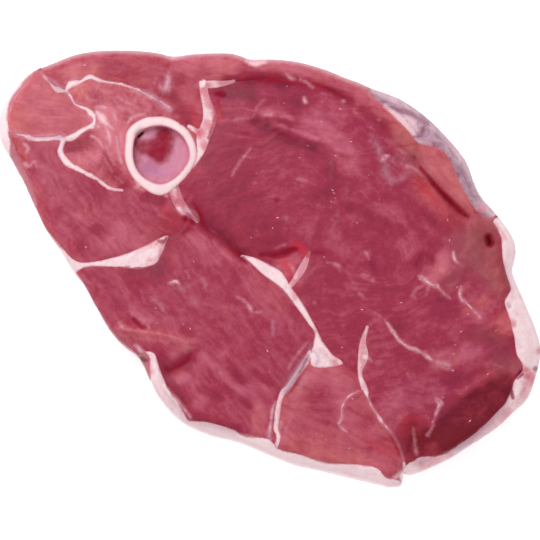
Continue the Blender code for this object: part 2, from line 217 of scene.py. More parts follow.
for i, (name, a, b) in enumerate(sides):
    j = twins[i]
    if j is not None and twins[j] == i:
        other, c, d = sides[j]
        for own, theirs in ((a, d), (b, c)):
            if math.dist(own, theirs) < CORNER_REACH:
                same_as[first_of((name, own))] = first_of((other, theirs))
shared = {}
for name, a, b in sides:
    for corner in (a, b):
        shared.setdefault(first_of((name, corner)), set()).add(corner)
order = {key: i for i, key in enumerate(shared)}
joints = np.array([np.mean(list(group), axis=0) for group in shared.values()])
print(len(sides), "border sides share", len(joints), "points")

# %% [markdown]
# The border points are now strung into runs, each from one meeting point of three pieces to the next, and a
# smooth curve is laid through every run. Its points come close together, about one and a half pixels apart,
# so that a seam's edge is drawn as finely as the picture can show it.

# %% Smooth runs of border
FINE = 0.45

neighbours = {}
for name, a, b in sides:
    i, j = order[first_of((name, a))], order[first_of((name, b))]
    if i != j:
        neighbours.setdefault(i, set()).add(j)
        neighbours.setdefault(j, set()).add(i)


def runs_of(neighbours):
    """The border as runs of points that end where more than two sides meet, or close on themselves."""
    forks = [i for i in sorted(neighbours) if len(neighbours[i]) != 2]
    done, runs = set(), []
    for start in forks + sorted(neighbours):
        for step in sorted(neighbours[start]):
            if (start, step) in done:
                continue
            run = [start, step]
            done |= {(start, step), (step, start)}
            while run[-1] != start and len(neighbours[run[-1]]) == 2:
                following = next(j for j in neighbours[run[-1]] if j != run[-2])
                done |= {(run[-1], following), (following, run[-1])}
                run.append(following)
            runs.append(run)
    return runs


def smooth_line(points, step):
    """A smooth curve through points that may carry more numbers, as new points about one step apart. It
    closes on itself where its first and last points are the same."""
    points = np.asarray(points, float)
    closed = len(points) > 3 and np.allclose(points[0], points[-1])
    before_first, after_last = (points[-2], points[1]) if closed else (points[0], points[-1])
    points = np.concatenate([[before_first], points, [after_last]])
    line = []
    for before, start, end, after in zip(points, points[1:], points[2:], points[3:]):
        pieces = max(1, round(math.dist(start[:2], end[:2]) / step))
        for t in np.arange(pieces) / pieces:
            line.append(start + 0.5 * t * (end - before + t * (2 * before - 5 * start + 4 * end - after
                                                               + t * (3 * start - before - 3 * end + after))))
    return np.array(line + [points[-2]])


plan_points = [tuple(p) for p in joints]
plan_sides = []
for run in runs_of(neighbours):
    line = smooth_line(joints[run], FINE)
    first = len(plan_points)
    plan_points += [tuple(p) for p in line[1:-1]]
    indices = [run[0], *range(first, len(plan_points)), run[-1]]
    plan_sides += list(zip(indices, indices[1:]))
used = sorted({i for side in plan_sides for i in side})
renamed = {old: new for new, old in enumerate(used)}
plan_points = [plan_points[i] for i in used]
plan_sides = [(renamed[i], renamed[j]) for i, j in plan_sides]
print(len(plan_points), "points on the borders")

# %% [markdown]
# Between the borders the plan is filled with an even field of points, set like a honeycomb because that
# gives the most regular triangles. A constrained Delaunay triangulation then joins them so that no triangle
# crosses a border. It is the same call that fills a drawn outline, given a finer drawing. Points that would
# lie too near a border, or outside the slice, are left out first.

# %% The fine plan
CLEAR = 0.27
MERGE = 1e-6


def tree_of(points):
    """A search tree of plan points."""
    tree = KDTree(len(points))
    for i, point in enumerate(points):
        tree.insert((point[0], point[1], 0.0), i)
    tree.balance()
    return tree


def flat_tree(triangle_lists):
    """A search tree of triangles pressed flat, and for each triangle the number of its list."""
    triangles = np.concatenate(triangle_lists)
    flat = triangles * (1.0, 1.0, 0.0)
    owners = np.repeat(np.arange(len(triangle_lists)), [len(t) for t in triangle_lists])
    faces = np.arange(len(flat) * 3).reshape(-1, 3).tolist()
    return BVHTree.FromPolygons(flat.reshape(-1, 3).tolist(), faces), owners, triangles


border_tree = tree_of(plan_points)
sole_tree, sole_owner, _ = flat_tree([soles[name] for name in names])
low = np.min(plan_points, axis=0)
high = np.max(plan_points, axis=0)
field = [
    (x + FINE / 2 * (row % 2), y)
    for row, y in enumerate(np.arange(low[1], high[1], FINE * math.sqrt(0.75)))
    for x in np.arange(low[0], high[0], FINE)
]
field = [
    (x, y) for x, y in field
    if sole_tree.find_nearest((x, y, 0.0))[3] < CLEAR and border_tree.find((x, y, 0.0))[2] > CLEAR
]
filled = delaunay_2d_cdt(plan_points + field, plan_sides, [], 1, MERGE)
plan = np.array([tuple(point) for point in filled[0]])
triangles = np.array([tuple(face) for face in filled[2]])
drawn_sides = {tuple(sorted(side)) for side, sources in zip(filled[1], filled[4]) if sources}
print(len(plan), "points and", len(triangles), "triangles in the fine plan")

# %% [markdown]
# Now each fine triangle is given to a piece. Triangles that touch across an undrawn side belong together,
# so they are gathered into islands, and an island goes to the solid whose sole lies under most of it. That
# is safer than asking triangle by triangle, where the 0.3 mm gap would leave some in doubt.

# %% Part the plan into its pieces
def islands(triangles, walls):
    """For each triangle, the number of its island. Islands end at the walls."""
    beside = {}
    for i, (a, b, c) in enumerate(triangles.tolist()):
        for side in ((a, b), (b, c), (c, a)):
            beside.setdefault((min(side), max(side)), []).append(i)
    near = [[] for _ in triangles]
    for side, both in beside.items():
        if len(both) == 2 and side not in walls:
            near[both[0]].append(both[1])
            near[both[1]].append(both[0])
    island = np.full(len(triangles), -1)
    count = 0
    for seed in range(len(triangles)):
        if island[seed] < 0:
            island[seed] = count
            waiting = [seed]
            while waiting:
                for i in near[waiting.pop()]:
                    if island[i] < 0:
                        island[i] = count
                        waiting.append(i)
            count += 1
    return island, count


island, count = islands(triangles, drawn_sides)
votes = np.zeros((count, len(names)))
for i, (x, y) in enumerate(plan[triangles].mean(1)):
    votes[island[i], sole_owner[sole_tree.find_nearest((x, y, 0.0))[2]]] += 1
owner = votes.argmax(1)[island]
for number, name in enumerate(names):
    print(f"{name}: {(owner == number).sum()} triangles")

# %% [markdown]
# The rim of the slice matters to most steps: there the cut face rounds over into the outer wall. A side
# that only one triangle has lies on the rim, or on a piece's own border when only that piece's triangles
# are asked.

# %% The rim
def sides_of(triangles):
    """All sides of the triangles, in their own direction."""
    return np.concatenate([triangles[:, [0, 1]], triangles[:, [1, 2]], triangles[:, [2, 0]]])


def lone_sides(triangles):
    """The sides that only one of the triangles has, with that triangle on the left."""
    sides = sides_of(triangles)
    codes = sides[:, 0] * len(plan) + sides[:, 1]
    return sides[~np.isin(codes, sides[:, 1] * len(plan) + sides[:, 0])]


def distance_to(points, targets):
    """How far each plan point is from the nearest of the targets."""
    tree = tree_of(targets)
    return np.array([tree.find((x, y, 0.0))[2] for x, y in points])


rim_sides = lone_sides(triangles)
on_rim = np.zeros(len(plan), bool)
on_rim[rim_sides.ravel()] = True
from_rim = distance_to(plan, plan[on_rim])
print("rim points:", on_rim.sum())

# %% [markdown]
# What a butcher sees on the cut face are marks: threads and specks of fat, lilac silverskin, pooled blood,
# creases and pits, where the blood strokes also paint the shade. Each kind is a list of strokes, read from
# the picture in millimetres from its middle. A stroke is a route whose points carry a width: one without a
# width is
# 1 mm wide. The slice's own middle, the frame's origin, lies a little off the picture's, so one helper shifts
# every route.
#
# A stroke isn't painted on the points, which lie too far apart for a thread of 0.6 mm. Each point keeps how
# near it is to the strokes instead: the stroke's strength at its edge, more inside it, and nothing at a set
# distance. That number changes evenly from point to point, so the material can draw a sharp or a ragged
# edge anywhere between them. A band is softer and wider than a stroke: it fades as a bell does, and bands
# that lie over each other add up.

# %% Strokes and bands
PICTURE_MIDDLE = np.array([0.1, 0.75])
ROUTE_STEP = 0.25
BAND_REACH = 2.2


def routed(route, step=ROUTE_STEP):
    """A stroke as a smooth, finely spaced line in the slice's own place, with its half width."""
    line = np.array([(*point, 1.0)[:3] for point in route], float)
    if len(route) > 1:
        line = smooth_line(line, step)
    return np.column_stack([line[:, :2] - PICTURE_MIDDLE, line[:, 2] / 2])


def beside(line, reach):
    """The plan points within reach of a stroke, and how far each is outside the stroke's own width."""
    half = line[:, 2].max()
    box_low, box_high = line[:, :2].min(0) - half - reach, line[:, :2].max(0) + half + reach
    near = np.flatnonzero(((plan > box_low) & (plan < box_high)).all(1))
    if not len(near):
        return near, np.zeros(0)
    gaps = np.linalg.norm(plan[near, None] - line[None, :, :2], axis=2) - line[None, :, 2]
    gap = gaps.min(1)
    return near[gap < reach], gap[gap < reach]


def stroked(strokes, softness):
    """How near each plan point is to strokes, given as (strength, route)."""
    nearness = np.zeros(len(plan))
    for strength, route in strokes:
        near, gap = beside(routed(route), softness)
        nearness[near] = np.maximum(nearness[near], strength * (1 - gap / softness))
    return nearness


def banded(bands):
    """The sum of soft bands at each plan point, given as (strength, softness, route)."""
    total = np.zeros(len(plan))
    for strength, softness, route in bands:
        near, gap = beside(routed(route, softness / 2), BAND_REACH * softness)
        total[near] += strength * np.exp(-(np.maximum(gap, 0) / softness) ** 2)
    return total


def noise_over(points, size, seed):
    """Smooth noise between about -1 and 1 at plan points, with waves of about the given size in mm."""
    return np.array([noise.noise((x / size, y / size, seed)) for x, y in points])


# %% [markdown]
# The solids have long, plain sides, and in a few places the picture shows a border a little to one side of
# theirs. The plan is nudged there, by less than a millimetre: each nudge is a push in x and y, how softly it
# fades, and the route along which it is full. The rim stays where it is.

# %% Nudge the borders
RIM_HOLD = 2.0
NUDGES = [
    ((0.2, 0.7), 3, [(-27, -41), (-15, -46.8), (-2, -51), (5, -54.4), (16, -58), (25, -59.6)]),
    ((0, 0.6), 2, [(30, -60.8), (36, -62)]), ((-0.6, 0), 2, [(73, -19), (73.5, -25)]),
    ((0.5, -0.3), 2, [(71.5, -36), (70.5, -40)]),
    ((-0.9, 0), 1.6, [(4.4, -37, 0.5), (3, -42.7, 0.5), (2.4, -48, 0.5)]),
    ((-0.45, 0.5), 2, [(-43.6, 41.5), (-41.5, 45), (-38, 47)]), ((-1, -0.6), 1.5, [(-31.5, 8), (-32.5, 4.5)]),
    ((0.8, 0), 2, [(-36.5, -27.5), (-34.5, -33)]),
]
push = sum(np.outer(banded([(1.0, softness, route)]), way) for way, softness, route in NUDGES)
plan = plan + push * np.clip(from_rim / RIM_HOLD, 0, 1)[:, None]
print(f"borders nudged by up to {np.linalg.norm(push, axis=1).max():.1f} mm")

# %% [markdown]
# A few facts about the plan serve all later steps: which points lie on a border between pieces, and how far
# every point is from it. A bare border is one where muscle touches muscle, with no fat between: it shows as a
# dark crease.

# %% Measure the plan
touches = np.zeros((len(plan), len(names)), bool)
for corner in range(3):
    touches[triangles[:, corner], owner] = True
is_muscle = np.array([name in MUSCLES for name in names])
on_border = touches.sum(1) > 1
on_bare = (touches[:, is_muscle].sum(1) > 1) & (touches[:, ~is_muscle].sum(1) == 0)
on_fat = on_border & (touches[:, ~is_muscle].sum(1) > 0)
from_border, from_bare, from_fat = (distance_to(plan, plan[found]) for found in (on_border, on_bare, on_fat))
print("rim points", on_rim.sum(), "border points", on_border.sum(), "of them bare", on_bare.sum())

# %% [markdown]
# The heights of the slice are read from the solids' tops. Those are faceted, with sides of a few
# millimetres, so the reading is evened out: again and again each point moves to the mean of its neighbours,
# as heat spreads. The rim keeps its height. The marrow is sunk inside the bone, so it is evened by itself.

# %% Heights of the top and the underside
EVENING_ROUNDS = 9


def read_heights(name, solids, points):
    """The height of a piece's solid at plan points."""
    tree, _, faces = flat_tree([solids[name]])
    found = []
    for x, y in plan[points]:
        place, _, i, _ = tree.find_nearest((x, y, 0.0))
        a, b, c = faces[i]
        across = np.cross(b - a, c - a)
        found.append(a[2] - (across[0] * (place[0] - a[0]) + across[1] * (place[1] - a[1])) / across[2])
    return np.array(found)


def evened(values, members, held, rounds):
    """Values evened out over the triangles that are members, with some points held."""
    sides = sides_of(triangles[members])
    sides = np.concatenate([sides, sides[:, ::-1]])
    weight = np.maximum(np.bincount(sides[:, 0], minlength=len(plan)), 1)
    for _ in range(rounds):
        mean = np.bincount(sides[:, 0], values[sides[:, 1]], len(plan)) / weight
        values = np.where(held, values, mean)
    return values


def sheet_heights(solids, group):
    """The heights of several pieces as one sheet, with the mean where they meet."""
    total, count = np.zeros(len(plan)), np.zeros(len(plan))
    for name in group:
        points = np.unique(triangles[owner == names.index(name)])
        total[points] += read_heights(name, solids, points)
        count[points] += 1
    members = np.isin(owner, [names.index(name) for name in group])
    return evened(total / np.maximum(count, 1), members, on_rim, EVENING_ROUNDS)


joined = [name for name in names if name != "marrow"]
top = {"slice": sheet_heights(tops, joined), "marrow": sheet_heights(tops, ["marrow"])}
foot = {"slice": sheet_heights(soles, joined), "marrow": sheet_heights(soles, ["marrow"])}
seen = top["slice"][touches[:, [names.index(n) for n in joined]].any(1)]
print(f"the top lies from {seen.min():.1f} to {seen.max():.1f} mm, half of it above {np.median(seen):.1f} mm")

# %% [markdown]
# Marbling is fat between the fibre bundles: pale pink threads that swell, thin out and break. The strongest
# ones are the white thread over the dark corner at the lower right and the forked ones in the big muscle.
# The same strokes stand for wisps of white over the layers of fat.

# %% Marbling
MARBLING = [
    (0.7, [(26.7, -36.6, 0.3), (24.4, -37.6, 0.6), (22.6, -39.2, 0.7), (21.4, -41.6, 0.6), (21.3, -43.6, 0.4),
        (21.2, -45.2, 0.6), (20.4, -46.6, 0.8), (21.6, -48, 0.4), (23.2, -49, 0.1)]),
    (0.85, [(35, -16.4, 0.5), (36.2, -18.2, 0.7), (37.6, -20.4, 0.6), (39, -22, 0.8), (41, -23.4, 0.7),
        (43.2, -24.2), (45.2, -25.2, 0.5), (46.8, -26.4), (48.4, -27.4, 0.4)]),
    (0.45, [(31.5, -13.3, 0.3), (33.5, -14.8, 0.4), (35, -16.4, 0.6)]),
    (0.5, [(47.5, -26.6), (50.2, -28.6, 1.2), (52, -29.6), (54.5, -30.2, 0.5)]),
    (0.8, [(44.6, -2.3, 0.6), (46, -3.2, 1.5), (47.4, -4.2), (48.6, -4.9, 0.6), (50, -5.3, 1.2)]),
    (0.6, [(50, -5.3), (51.5, -6.8, 0.5), (52.6, -8, 0.8), (53.8, -8.7, 0.7)]),
    (0.5, [(46, -5, 0.5), (43.7, -6.2, 0.8), (42.6, -7.8), (43.6, -9, 0.4)]),
    (0.4, [(47.5, -5.5, 1.2), (46.8, -7.5, 0.8)]),
    (0.75, [(55, 5, 0.6), (55.1, 3.9), (55.4, 2.9, 0.9), (56.3, 1.8, 0.5)]),
    (0.35, [(56.5, 1.8, 0.4), (57.8, 0.6, 0.8)]),
    (0.7, [(57.2, -5.4, 0.3), (56.9, -7.2, 0.8), (57, -8.6, 0.9), (57.6, -9.6, 0.8), (59, -10.6, 0.5),
        (61.5, -13.2, 0.6), (62.8, -14.6, 0.5)]),
    (0.9, [(49.8, -38.9, 0.8), (50.9, -40.2, 1.4), (50.2, -41.8, 0.8), (49.4, -43.6, 0.5)]),
    (0.6, [(49.4, -43.6, 0.5), (48.9, -45.2, 0.6), (48.4, -47, 0.5), (47.6, -48.6, 0.6), (47, -49.4)]),
    (0.5, [(42.6, -47.4, 0.4), (42.9, -50, 0.6), (43.1, -52.4, 0.8), (43.4, -54), (43.6, -55.6, 0.5)]),
    (0.4, [(-10.8, 45.4, 1.2), (-8.5, 45.6), (-5.5, 46, 0.8), (-4.4, 48.3), (-3.2, 50), (-1.8, 51.6, 0.6)]),
    (0.55, [(-1.5, 47), (0.4, 46.9, 0.8)]),
    (0.6, [(-5.7, 36.4, 0.6), (-7.2, 34.8, 0.6), (-8.6, 33, 0.7), (-9.8, 31.2, 0.8), (-10.8, 29.6, 0.7),
        (-11.3, 28.2, 0.3)]),
    (0.35, [(1.5, 44.4, 0.3), (5, 42.8, 0.6), (9, 41.4, 0.5), (12.5, 40.1, 0.6), (16, 38.6, 0.3)]),
    (0.65, [(5, 59.6, 0.5), (5.8, 58.8), (7.2, 58.2, 0.9)]),
    (0.6, [(9.2, 58, 0.5), (10.8, 57.4, 0.9), (12, 56.4, 0.8), (13, 55.6, 0.7)]),
    (0.4, [(15.5, 54, 0.5), (17, 53.2, 0.9), (18.6, 53, 0.6)]), (0.6, [(22.2, 51.3, 1.3)]),
    (0.65, [(10.4, 52, 0.9), (10.8, 50.8, 1.2)]), (0.4, [(15.7, 51, 0.9)]), (0.4, [(26.2, 47.6)]),
    (0.3, [(26, 49, 0.8), (24.5, 48.6, 0.6)]), (0.5, [(33, 45.6, 0.9)]), (0.4, [(30.5, 43, 1.2)]),
    (0.7, [(33.8, 32.8, 0.7), (34.5, 33.8, 1.2), (35.8, 34.4, 0.6)]),
    (0.5, [(38.3, 36.8, 0.5), (39.2, 36.3, 0.9), (41, 35.5, 0.4)]), (0.4, [(39.8, 32)]),
    (0.65, [(41.4, 31.2, 0.7), (43.3, 31, 0.9), (44.6, 29.8, 0.6), (45.6, 28.6, 0.3)]), (0.3, [(31, 28.5)]),
    (0.3, [(36, 26, 1.5)]), (0.35, [(-4.5, 25.8, 1.2)]),
    (0.55, [(8.2, 27, 0.4), (9.6, 26.9), (10.6, 26.8, 0.4)]),
    (0.45, [(17.3, 1.8, 0.5), (19, 1.5), (20.6, 0.8, 1.2), (21, -0.6, 0.6)]),
    (0.45, [(28.4, 5.4, 0.4), (29, 4.4), (29.6, 3, 0.5)]), (0.5, [(27.5, -2, 0.8), (29.2, -2.2)]),
    (0.5, [(30.8, -3.6)]), (0.35, [(24.9, -4.1, 1.2)]), (0.45, [(26.6, -7.2, 0.8), (27.9, -8.4, 0.8)]),
    (0.45, [(13.3, -10.2, 1.1)]), (0.3, [(22, -17, 0.9)]), (0.3, [(30, -16.8, 0.8), (28.6, -17.4, 0.8)]),
    (0.6, [(-52.4, 47.8, 1.8), (-50.8, 46, 3.2), (-49.6, 44.2, 1.6)]),
    (0.6, [(-49.4, 44.4, 2.4), (-47.4, 42.6, 1.2)]),
    (0.5, [(-52.6, 42.6, 0.7), (-50.5, 41.6, 0.8), (-49.4, 39.8, 0.9)]),
    (0.5, [(-42.4, 48.2), (-41.2, 47.2, 0.8)]), (0.45, [(-44.5, 49.3, 0.8), (-43, 48.8, 0.6)]),
    (0.5, [(-45.3, 41.6, 1.2), (-44.8, 37.5)]), (0.5, [(-40.5, 52.5), (-41.2, 51, 0.8)]),
    (0.6, [(-9.9, -8.6, 0.5), (-8.4, -9.2, 0.7), (-6.9, -10.6, 0.9), (-6.1, -11.9, 1.3), (-5, -13.1, 0.6),
        (-3.4, -13.1, 0.9), (-2.6, -13.1, 0.4)]),
    (0.5, [(-62, 57, 1.2), (-59.5, 58.2, 1.6), (-57.5, 58.4)]),
    (0.5, [(5.6, 1.6, 0.6), (7.2, -0.4, 1.4), (7.6, -2.6)]), (0.4, [(1.5, 6.2, 0.6), (4.5, 7.6, 0.8)]),
    (0.5, [(3.2, -46, 0.8), (2.6, -49, 1.4), (2.4, -51)]),
    (0.7, [(-29.8, -4.3), (-28.2, -3.9, 1.2), (-27.2, -4.6, 0.6)]),
    (0.4, [(-34.2, -9.4, 0.6), (-33, -10.8, 1.2), (-31.8, -12.4, 0.8)]),
    (0.35, [(-23.6, -8.8, 0.8), (-22.6, -10.4)]),
    (0.5, [(-25.4, -0.8, 0.6), (-24.6, -1.2), (-24.4, -2.6, 0.6)]),
    (0.45, [(-42.2, -12.4, 0.4), (-40, -14.2, 0.7), (-38, -16, 0.7), (-36, -17.6, 0.5)]),
    (0.35, [(-54.5, -3.9, 0.4), (-52.5, -4.5, 0.8), (-50.8, -5.3, 0.5)]), (0.5, [(-54.4, -5.8, 0.9)]),
    (0.3, [(-13.9, -26, 1.2)]), (0.25, [(-21.5, -19.3, 1.2)]),
    (0.8, [(-40.2, -22.6, 0.5), (-39.3, -23.6, 0.8), (-38.2, -24.8, 0.9), (-37.2, -25.2, 0.6)]),
    (0.7, [(1.6, -40, 0.5), (0.7, -43, 1.4), (0.4, -45.5, 0.9), (0, -48, 1.2), (-0.4, -51, 1.6)]),
    (0.55, [(-47.2, 51.6, 0.6), (-46, 49.8, 0.8), (-44.6, 48.9, 1.4), (-42.6, 48.4, 0.6)]),
    (0.6, [(-48, 49, 0.5), (-47, 46.2, 1.2), (-46.6, 43.6, 0.6)]),
    (0.65, [(-49.6, 43.4), (-48.6, 40.6, 1.6), (-48.4, 38, 0.8)]),
    (0.6, [(-46.4, 40.2, 0.8), (-46, 36.8, 1.2), (-45, 33, 0.8), (-43.4, 30, 0.5)]),
    (0.5, [(-54, 45.4), (-52, 43.4, 2)]), (0.55, [(-49.8, 38.6, 0.5), (-48.6, 35), (-47, 31.6, 0.5)]),
    (0.65, [(-54, 40.6, 0.8), (-52, 39.4), (-50.4, 37, 0.6)]),
    (0.6, [(-52.8, 49.6, 0.5), (-50.6, 49.4, 1.6), (-48.6, 48.6, 0.6)]),
    (0.7, [(-40.6, 26.6, 0.6), (-39.4, 25.4, 1.2)]),
    (0.5, [(-56.4, 53, 0.5), (-54, 51.6), (-51.4, 51.4, 0.5)]),
    (0.45, [(-53.2, 55.6, 0.4), (-50.6, 54.4, 0.8), (-48, 53.8, 0.4)]),
    (0.5, [(-46, 52.6, 0.5), (-44, 51, 1.2), (-42.2, 50.4, 0.6)]),
    (0.5, [(-52, 36, 0.5), (-49.8, 33.2, 0.8), (-47.6, 29.4, 0.4)]),
    (0.4, [(-56.8, 36.2, 0.5), (-54.2, 34.6, 0.8), (-52.2, 32.4, 0.4)]),
    (0.45, [(-46.8, 28, 0.5), (-44.4, 26.4, 0.8)]), (0.45, [(50.2, -28, 2.6), (53, -28.8, 2.2)]),
    (0.35, [(46.2, -25.6, 2.4)]), (0.5, [(-4.6, 25.9)]),
    (0.45, [(-46, -17.6, 0.4), (-42, -18.4, 0.6), (-37, -19, 0.4)]),
    (0.4, [(-41, -20.6, 0.4), (-36, -21.4, 0.5), (-30, -22.4, 0.4)]),
    (0.4, [(-33, -19.8, 0.4), (-28, -20.9, 0.6), (-24.4, -22.6, 0.6)]),
    (0.4, [(-40.6, -13.6, 0.4), (-37.6, -15.6, 0.6)]), (0.5, [(-45.2, -16.4, 0.8), (-44, -17.6)]),
    (0.65, [(-43.2, 44.4, 0.5), (-41.5, 46.3, 1.4), (-38.1, 47.4)]),
    (0.65, [(-31.6, -35, 0.8), (-29.6, -37.4, 1.1), (-27, -40.2, 1.1), (-23.8, -44.2)]),
    (0.69, [(-9.4, -49.6, 0.8), (-6.2, -50.4, 1.3), (-1.5, -51.4)]),
    (0.5, [(5.6, -46, 0.5), (4.4, -48.8, 0.9)]), (0.5, [(30, -40.6, 0.8), (32.2, -44.4), (34.8, -47.8, 0.8)]),
    (0.65, [(-42.2, 45.2, 0.6), (-40.4, 46.8)]), (0.7, [(-31.2, 22.2)]), (1, [(-20.6, 56.6, 1.2)]),
    (0.6, [(11.2, -22, 0.5), (9.4, -24.2, 0.9), (7.4, -26.8, 0.9), (5.4, -30, 0.5)]),
    (0.7, [(-55.4, 47.4, 0.6), (-54.4, 46.4)]), (0.6, [(28.2, -26.4), (29.6, -27, 0.7), (30.3, -27.5, 0.3)]),
    (0.7, [(-29, 24), (-28.4, 22, 0.6)]), (0.9, [(-27.3, 18.2, 1.4), (-26.4, 17, 0.8)]),
    (0.4, [(-31, 60.6, 0.8), (-31, 58.2, 2.4), (-31.4, 55.8, 2.8)]),
    (0.4, [(-33.6, 57.4, 0.8), (-33.4, 55.4, 1.4)]), (0.45, [(-30.6, 58.6)]),
    (0.5, [(-34.6, 58.2, 0.5), (-35, 56.8, 0.6)]),
    (0.6, [(-25.4, 18.6, 0.8), (-22.8, 16.8, 0.9), (-21.8, 15, 0.8)]),
    (0.6, [(-40.6, 25, 0.8), (-39.3, 24.4), (-38, 23.7, 0.6)]),
    (0.8, [(-32, 64.9, 0.5), (-30, 64.4, 1.2), (-27, 64.8), (-25.2, 65.2, 0.4)]),
    (1, [(-7.4, 63.4, 0.8), (-4.6, 62.6, 1.6), (-1.5, 63)]),
    (0.65, [(-74.6, 38.5, 0.4), (-73.4, 37.2, 1.4), (-73.6, 35.6, 0.6)]), (0.6, [(-68.6, 58.3, 0.9)]),
    (0.65, [(-73.8, 32.6, 0.8), (-72.6, 31.4, 0.8), (-71.2, 32.6, 0.8), (-70.6, 31.2, 0.5)]),
    (0.35, [(-59.5, 61.3), (-57.8, 61.8, 0.6)]),
    (0.9, [(-70.5, 60.8, 0.6), (-74, 58, 0.9), (-77.5, 53.2, 1.4), (-79.6, 48.4, 1.8), (-80.2, 44.5, 1.8),
        (-79.8, 41.4, 1.6)]),
    (0.25, [(-62.3, 18.6, 0.5), (-60.2, 17.2, 0.7), (-58, 16, 0.6)]),
    (0.25, [(-55.5, 14.8, 0.5), (-53, 13.6, 0.8)]), (0.2, [(-56.5, 21.5, 0.5), (-53.5, 20, 0.7)]),
    (0.3, [(58, -33.8, 0.5), (60, -34.1, 0.8), (62, -33.6, 0.5)]),
    (0.35, [(65.4, -27.8, 0.5), (67, -28.8, 0.7), (69.5, -29.4, 0.7)]), (0.3, [(63.5, -27.4, 0.8)]),
    (0.25, [(40.8, -31.5, 0.6), (42.3, -33.4, 0.9)]), (0.2, [(39.4, -36.5, 0.6), (39.6, -39, 0.8)]),
    (0.9, [(34.8, 49.6, 0.6), (37, 47.9, 1.4), (39.5, 45.8, 1.8), (42, 43.2, 1.6), (43.6, 41.2, 0.8)]),
    (0.6, [(40.5, 47.2, 1.2), (43, 45, 2.6), (44.3, 42.8, 1.4)]), (0.3, [(48, 43.2, 1.2)]),
    (0.35, [(43.6, 39.6, 0.5), (46, 38.9, 0.6), (49.5, 37.8, 0.5)]),
    (0.4, [(51.3, 36.6, 0.8), (53, 36.3, 0.6)]), (0.4, [(31, 54.2, 0.6), (34, 53), (38, 51.6, 0.8)]),
    (0.4, [(66, 17, 1.2), (69, 14.8, 1.4), (70.6, 12, 0.8)]),
    (0.9, [(36.6, -62.4), (38.6, -61.4, 1.2), (39.8, -60.2, 0.6)]),
    (0.4, [(57, 35), (59, 32, 1.2), (60.3, 28.5, 0.6)]),
]
print(len(MARBLING), "strokes of marbling")

# %% [markdown]
# Silverskin is a film of tough tissue. Where it lies over meat it looks lilac-grey, because the dark red
# shows through a milky layer.

# %% Silverskin over meat and fat
SILVERY = [
    (0.8, [(-79.5, 41.4, 0.8), (-76, 41.2), (-73, 40.3, 1.2), (-70, 40.2, 1.2), (-66, 40.4, 1.2),
        (-62.6, 40.2, 1.6)]),
    (0.85, [(-61.6, 54.2, 0.9), (-62.8, 54.9, 1.2), (-64.6, 55.4, 1.4), (-65.6, 56.8), (-67.2, 58, 0.6)]),
    (0.5, [(-61.6, 53.6, 0.6), (-61, 52.4, 0.6)]),
    (0.9, [(-41.4, 55, 0.5), (-38, 53.7, 0.8), (-35.5, 52.5), (-33.2, 51, 1.1), (-31.4, 49.6, 0.9),
        (-30, 48.4, 0.5)]),
    (0.8, [(12.6, -24.2, 0.5), (14.6, -26.6, 0.9), (13.8, -28.6, 0.8)]),
    (0.6, [(16.4, -25.6, 0.5), (18.2, -28, 0.6)]),
    (0.4, [(-31.4, 59.6, 1.6), (-31.2, 57.4, 3.2), (-31.8, 55.2, 3.6)]),
    (0.9, [(11.6, -25.6, 0.8), (9.4, -28.6, 1.4), (7.6, -31.5, 1.4), (5.6, -34.8, 1.2), (4.2, -36.8)]),
    (0.5, [(10.6, -32.4, 0.7), (9.6, -34.4, 0.9), (8.4, -35.6, 0.5)]),
    (0.45, [(0.8, -15.6, 0.9), (0.9, -18, 1.2), (0.8, -20.4, 0.6)]), (0.5, [(9.8, 1.2, 1.2), (9.2, -0.8)]),
    (0.3, [(-35.2, -8.8, 1.4), (-33, -10.4, 2.4), (-31.8, -12.6, 1.6)]),
    (0.3, [(-23.6, -8.4, 1.4), (-22.4, -10.8, 2)]), (0.4, [(-20, -3.4, 0.8), (-19.2, -5)]),
    (0.25, [(-30, -5.2, 1.6), (-26.4, -5.8, 2.4), (-23.8, -5.2, 1.6)]), (0.4, [(4.8, 15.2, 1.4), (5.2, 14)]),
    (0.4, [(19.4, 14), (20.6, 14.2, 0.8), (22.2, 14.6, 0.8)]), (0.35, [(20.2, 16.5), (20.6, 15, 0.5)]),
    (0.25, [(22.8, 26, 1.2), (23.2, 22, 1.6), (22.4, 19.5)]),
    (0.25, [(17.6, 33.5), (18.6, 30.5, 1.4), (18.2, 27.5)]), (0.3, [(34.2, 36), (33.2, 39, 1.2)]),
    (0.3, [(37, 33, 1.8), (38.5, 34.6, 0.8)]), (0.3, [(35.5, 27, 1.5)]), (0.25, [(-65.5, 21.5, 1.6)]),
    (0.25, [(-69, 31.4, 1.4)]), (0.2, [(52.4, 8, 2.4)]), (0.2, [(31, -14, 1.2), (33, -15.6, 0.6)]),
    (0.5, [(27.6, -21, 0.8), (27.7, -24, 1.2), (27.9, -26.6), (27.6, -29.6, 0.8)]), (0.4, [(-34.4, 29.8, 2)]),
    (0.3, [(-37.4, 30.8, 3.5), (-33, 29.6, 3)]), (0.5, [(71.2, -10.6, 1.2)]),
    (0.28, [(30.6, 40.6, 2.5), (34, 33, 4), (36, 27, 4), (41, 28.4, 2.5)]),
    (0.5, [(12.2, -22.6, 0.8), (12, -24.8, 1.2)]), (0.4, [(14.4, -27.6, 0.8), (17.4, -28.4, 0.8)]),
    (0.35, [(14, -22.6, 0.6)]),
]
print(len(SILVERY), "strokes of silverskin")
